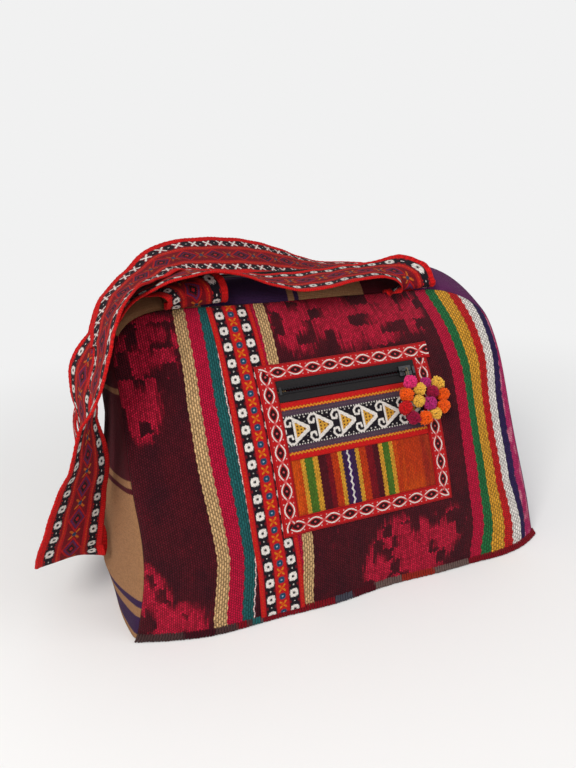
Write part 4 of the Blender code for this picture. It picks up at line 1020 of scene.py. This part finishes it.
FRONT_HANDLE_ROUTE = [
    (108, 12.5, 255, 1, 0, 0), (106.5, 13, 262, 0.95, 0.2, 0.2),
    (99, 16, 269, 0.7, 0.62, 0.3), (79, 18, 273, 0.1, 0.98, 0.14),
    (50, 17, 274.5, 0, 0.99, 0.08), (20, 16.5, 272.5, 0, 0.99, 0.12),
    (-8, 16.5, 271.5, 0, 0.98, 0.15), (-35, 16.5, 275, 0, 0.99, 0.06),
    (-60, 16, 282, 0, 1, -0.05), (-85, 15.5, 288.5, 0, 0.99, -0.12),
    (-108, 15, 290.5, 0, 1, -0.06), (-134, 15, 287, -0.03, 1, -0.03),
    (-156, 15.5, 279.5, -0.08, 1, -0.03), (-171, 16.2, 271, -0.14, 0.99, -0.04),
    (-181.3, 16.7, 261.4, -0.21, 0.98, -0.05), (-189.3, 15.1, 253.1, -0.27, 0.96, -0.04),
    (-195.2, 13.4, 240.6, -0.3, 0.95, -0.04), (-202.2, 13.2, 230.8, -0.38, 0.92, -0.03),
    (-208.8, 13.7, 220.2, -0.42, 0.91, -0.03), (-214, 13.4, 208.3, -0.4, 0.92, -0.04),
    (-217.9, 12.5, 193.6, -0.3, 0.95, -0.08), (-218.9, 12, 177.2, -0.2, 0.97, -0.1),
    (-220.6, 12.3, 160.1, -0.14, 0.98, -0.08), (-221, 18, 132, -0.02, 0.78, 0.6),
    (-220.5, 44, 119, 0, 0, 1), (-220.5, 65.9, 128.1, 0, -0.71, 0.71),
    (-219, 75, 150, 0, -1, 0), (-205, 70.8, 177.2, -0.06, -1, 0),
    (-204.2, 63.5, 206.6, -0.06, -1, 0), (-198.5, 59.5, 240, -0.04, -1, 0.02),
    (-179, 57.3, 267, 0, -1, 0), (-154, 44, 280, -0.48, -0.82, -0.3),
    (-131, 28, 282.5, -0.84, -0.48, -0.24), (-115, 14, 280, -0.98, -0.15, -0.08),
    (-109, 8.5, 273, -1, 0, 0), (-108, 10.5, 265, -1, 0, 0)]


def smooth_route(rows, count):
    rows = np.asarray(rows, float)
    chord = np.concatenate([[0.0], np.cumsum(np.linalg.norm(np.diff(rows[:, :3], axis=0), axis=1) ** 0.5)])
    padded = np.vstack([2 * rows[0] - rows[1], rows, 2 * rows[-1] - rows[-2]])
    times = np.concatenate([[-chord[1]], chord, [2 * chord[-1] - chord[-2]]])
    fine = []
    for part in range(1, len(padded) - 2):
        before, start, end, after = padded[part - 1:part + 3]
        time_before, time_start, time_end, time_after = times[part - 1:part + 3]
        span = time_end - time_start
        leave = (end - before) / (time_end - time_before) * span
        arrive = (after - start) / (time_after - time_start) * span
        for share in np.linspace(0.0, 1.0, 24, endpoint=False):
            cube = share ** 3
            square = share ** 2
            fine.append((2 * cube - 3 * square + 1) * start + (cube - 2 * square + share) * leave
                        + (3 * square - 2 * cube) * end + (cube - square) * arrive)
    fine.append(padded[-2])
    fine = np.array(fine)
    run = np.concatenate([[0.0], np.cumsum(np.linalg.norm(np.diff(fine[:, :3], axis=0), axis=1))])
    even = np.linspace(0.0, run[-1], count)
    return np.transpose([np.interp(even, run, column) for column in fine.T]), even


def make_handle(name, node, route, material, phase):
    """A woven band: a thin web between two thicker selvedges, with a slight cup and ripple."""
    stations = 720
    even, run = smooth_route(route, stations)
    centre = even[:, :3]
    tangent = unit(np.gradient(centre, axis=0))
    across = even[:, 3:]
    across = unit(across - tangent * np.sum(across * tangent, axis=1, keepdims=True))
    normal = np.cross(across, tangent)
    selvedge = np.linspace(WEB_SHARE, 1.0, 5)[1:]
    places = np.concatenate([-selvedge[::-1], np.linspace(-WEB_SHARE, WEB_SHARE, 21), selvedge])
    edge = np.clip((np.abs(places) - WEB_SHARE) / (1.0 - WEB_SHARE), 0.0, 1.0)
    thick = HANDLE_THICKNESS / 2 * (0.62 + 0.5 * np.sin(math.pi * edge))
    thick = np.maximum(thick * np.sqrt(np.clip(1.0 - edge ** 6, 0.0, 1.0)), 0.0001)
    half = HANDLE_WIDTH / 2
    run = run[:, None]
    width = places * half * (1.0 + 0.004 * edge * np.sin(run * 700.0))
    swell = np.maximum(0.0004 * edge * np.sin(run * 1450.0), 0.0)
    ripple = 0.0005 * np.sin(run * 190.0) * np.sin(places * 2.6)
    u, v = np.broadcast_arrays(places * half * MM, run * MM + phase)
    grid = []
    cloth = []
    for level in (1, -1):
        height = level * (thick + swell) + ripple
        side = centre[:, None] + across[:, None] * width[..., None] + normal[:, None] * height[..., None]
        grid.append(side[:, ::level])
        cloth.append(np.stack([u, v, np.full(u.shape, level)], axis=-1)[:, ::level])
    faces = [(face[0], *reversed(face[1:])) for face in tube_faces(stations, 2 * len(places))]
    mesh_piece(name, node, np.hstack(grid), np.hstack(cloth), faces, material)


def make_handles(material):
    top = np.array(PANEL_HEIGHT - 0.001)
    x = np.array(HANDLE_END_X)
    lift = np.array(HANDLE_SEAM_LIFT)
    front = [on_front(x, top, lift), on_front(-x, top, lift)]
    back = [back_point(end, top) + np.array([0.0, HANDLE_SEAM_LIFT, 0.0]) for end in (x, -x)]
    for name, ends, route, across, phase in (("front_handle", front, FRONT_HANDLE_ROUTE, 1.0, 2.0),
                                             ("back_handle", back, BACK_HANDLE_ROUTE, -1.0, 5.0)):
        middle = [(*(value / MM for value in row[:3]), *row[3:]) for row in route]
        rows = [(*ends[0], across, 0.0, 0.0), *middle, (*ends[1], -across, 0.0, 0.0)]
        make_handle(name + "_band", name, rows, material, phase)


# Garland

def lobes(out, seed):
    """How an uneven ball's reach changes with direction."""
    broad = math.sin(4.0 * out[0] + 3.0 * out[2] + seed)
    return 1.02 + 0.07 * broad + 0.05 * math.sin(5.0 * out[1] + 2.0 * seed)


def make_pompom(name, node, material, seed, tufts=460):
    """A ball of cut yarn: tapered tufts standing out of a small core."""
    low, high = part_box(node)
    centre = np.array((low + high) / 2)
    radius = float(max(high - low)) / 2
    chance = random.Random(seed)
    vertices, cloth, faces = [], [], []
    golden = math.pi * (3.0 - math.sqrt(5.0))
    for index in range(tufts):
        level = 1.0 - 2.0 * (index + 0.5) / tufts
        ring = math.sqrt(1.0 - level * level)
        turn = golden * index + chance.uniform(-0.2, 0.2)
        out = unit(np.array([ring * math.cos(turn), ring * math.sin(turn), level])
                   + np.array([chance.uniform(-0.16, 0.16) for _ in range(3)]))
        reach = radius * lobes(out, seed) * chance.uniform(0.92, 1.16)
        root = radius * 0.42
        width = radius * 0.12 * chance.uniform(0.8, 1.3)
        side = unit(np.cross(out, (0.3, 0.5, 0.8)))
        other = np.cross(out, side)
        tone = chance.random()
        base = len(vertices)
        for share, size in ((0.0, 0.9), (0.7, 1.15), (1.0, 0.55)):
            middle = centre + out * (root + (reach - root) * share)
            for corner in range(4):
                spin = math.pi / 2 * corner + index
                vertices.append(middle + (side * math.cos(spin) + other * math.sin(spin)) * width * size)
                # each tuft's own tone, and its share out from the root, which sets the painted shade deep
                # in the ball
                cloth.append((tone, share ** 1.5, 1.0))
        faces += tube_faces(3, 4, base, start_cap=False)
    mesh_piece(name, node, vertices, cloth, faces, material, body="garland")


def frame_slot(node):
    for row in frame["record"]["subparts"]:
        if row["node"] == node:
            return row["material_slot"]
    return "cord_yarn"


def dress_node(node, material):
    made = frame["nodes"][node]
    made.data.materials.clear()
    made.data.materials.append(material)


# Stage

CAMERA_PLACE = (-0.208, -0.532, 0.373)
CAMERA_YAW = math.radians(18.5)
CAMERA_PITCH = math.radians(19.2)
CAMERA_ROLL = math.radians(-3.0)
CAMERA_FOCAL = 29.0625
BACKDROP = (0.88, 0.88, 0.88, 1.0)
FLOOR_REACH = 6.0
FLOOR_FADE = (0.30, 0.95)


def make_camera():
    data = bpy.data.cameras.new("camera")
    data.lens = CAMERA_FOCAL
    data.sensor_width = 36.0
    data.clip_start = 0.01
    camera = add_object("camera", data)
    turn = Matrix.Rotation(-CAMERA_YAW, 4, "Z") @ Matrix.Rotation(math.pi / 2 - CAMERA_PITCH, 4, "X")
    camera.matrix_world = Matrix.Translation(CAMERA_PLACE) @ turn @ Matrix.Rotation(CAMERA_ROLL, 4, "Z")
    bpy.context.scene.camera = camera


def make_light(name, place, target, size, power, colour):
    data = bpy.data.lights.new(name, "AREA")
    data.energy = power
    data.size = size
    data.color = colour
    lamp = add_object(name, data)
    lamp.location = place
    lamp.rotation_euler = (Vector(target) - Vector(place)).to_track_quat("-Z", "Y").to_euler()


def make_floor():
    """A pale floor, lit near the bag and as pale as the backdrop far from it."""
    mesh = bpy.data.meshes.new("floor")
    corners = [(-1, -1), (1, -1), (1, 1), (-1, 1)]
    mesh.from_pydata([(x * FLOOR_REACH, y * FLOOR_REACH, 0.0) for x, y in corners], [], [(0, 1, 2, 3)])
    material = bpy.data.materials.new("floor")
    material.use_nodes = True
    tree = material.node_tree
    shader = tree.nodes["Principled BSDF"]
    shader.inputs["Base Color"].default_value = (0.86, 0.855, 0.85, 1.0)
    shader.inputs["Roughness"].default_value = 0.9
    shader.inputs["Specular IOR Level"].default_value = 0.1
    place = add_node(tree, "ShaderNodeNewGeometry").outputs["Position"]
    distance = add_node(tree, "ShaderNodeVectorMath", place, operation="LENGTH").outputs["Value"]
    seen = Field(tree, add_node(tree, "ShaderNodeLightPath").outputs["Is Camera Ray"])
    far = Field(tree, distance).step(*FLOOR_FADE) * seen
    glow = add_node(tree, "ShaderNodeEmission", BACKDROP)
    mixed = add_node(tree, "ShaderNodeMixShader", far, shader.outputs[0], glow.outputs[0])
    feed(tree, tree.nodes["Material Output"].inputs["Surface"], mixed.outputs[0])
    mesh.materials.append(material)
    add_object("floor", mesh)


def make_world():
    """Soft daylight on the bag, and a pale backdrop where the camera looks past it."""
    world = bpy.data.worlds.new("world")
    world.use_nodes = True
    tree = world.node_tree
    daylight = tree.nodes["Background"]
    daylight.inputs["Color"].default_value = (0.93, 0.94, 0.95, 1.0)
    daylight.inputs["Strength"].default_value = 0.60
    backdrop = add_node(tree, "ShaderNodeBackground", BACKDROP)
    rays = add_node(tree, "ShaderNodeLightPath").outputs
    seen = Field(tree, rays["Is Camera Ray"])
    for other in ("Is Glossy Ray", "Is Transmission Ray"):
        seen = seen.most(Field(tree, rays[other]))
    mixed = add_node(tree, "ShaderNodeMixShader", seen, daylight.outputs[0], backdrop.outputs[0])
    feed(tree, tree.nodes["World Output"].inputs["Surface"], mixed.outputs[0])
    bpy.context.scene.world = world


def make_stage():
    make_floor()
    make_world()
    make_light("window", (-1.1, -1.2, 1.5), (0.0, 0.0, 0.12), 0.9, 30.0, (1.0, 0.98, 0.95))
    make_light("fill", (1.4, -1.0, 0.9), (0.0, 0.0, 0.12), 1.2, 8.0, (0.95, 0.97, 1.0))
    bpy.context.scene.view_settings.view_transform = "Standard"


YARN = {"yarn_pink": (0.720, 0.030, 0.170), "yarn_orange": (0.800, 0.100, 0.006),
        "yarn_gold": (0.780, 0.440, 0.060), "yarn_red": RED, "yarn_crimson": (0.300, 0.006, 0.040),
        "yarn_purple": (0.420, 0.020, 0.150)}


def main():
    back = kilim_material("back_weave", motifs=False)
    rim = make_walls(kilim_material("front_weave"), back, side_material())
    make_base(rim, kilim_material("base_cloth", motifs=False))
    binding = binding_material()
    make_binding("front_edge_stitches", "front_edge_binding", rim["front_panel"], binding)
    make_binding("back_edge_stitches", "back_edge_binding", rim["back_panel"], binding)
    make_belt(belt_material())
    make_pocket_trim(ribbon_material())
    make_pocket_cloths(stripe_material(), hook_material())
    make_handles(handle_material())
    yarns = {slot: yarn_material(slot, colour) for slot, colour in YARN.items()}
    for index in range(1, 15):
        node = "pompom_%02d" % index
        make_pompom(node + "_yarn", node, yarns[frame_slot(node)], index)
    tape = hard_material("zip_tape", TAPE, 0.9, rib=1.1)
    teeth = hard_material("zip_teeth", TEETH, 0.6, grain=1.2, depth_mm=0.05)
    metal = hard_material("zip_metal", METAL, 0.34, metallic=1.0, grain=0.9, stretch=0.3, depth_mm=0.04)
    cord = yarn_material("cord_yarn", (0.620, 0.480, 0.300))
    for node in frame["nodes"]:
        if "tape" in node:
            dress_node(node, tape)
        elif "teeth" in node:
            dress_node(node, teeth)
        elif "zip" in node:
            dress_node(node, metal)
    dress_node("pompom_cord", cord)
    make_camera()
    make_stage()


main()
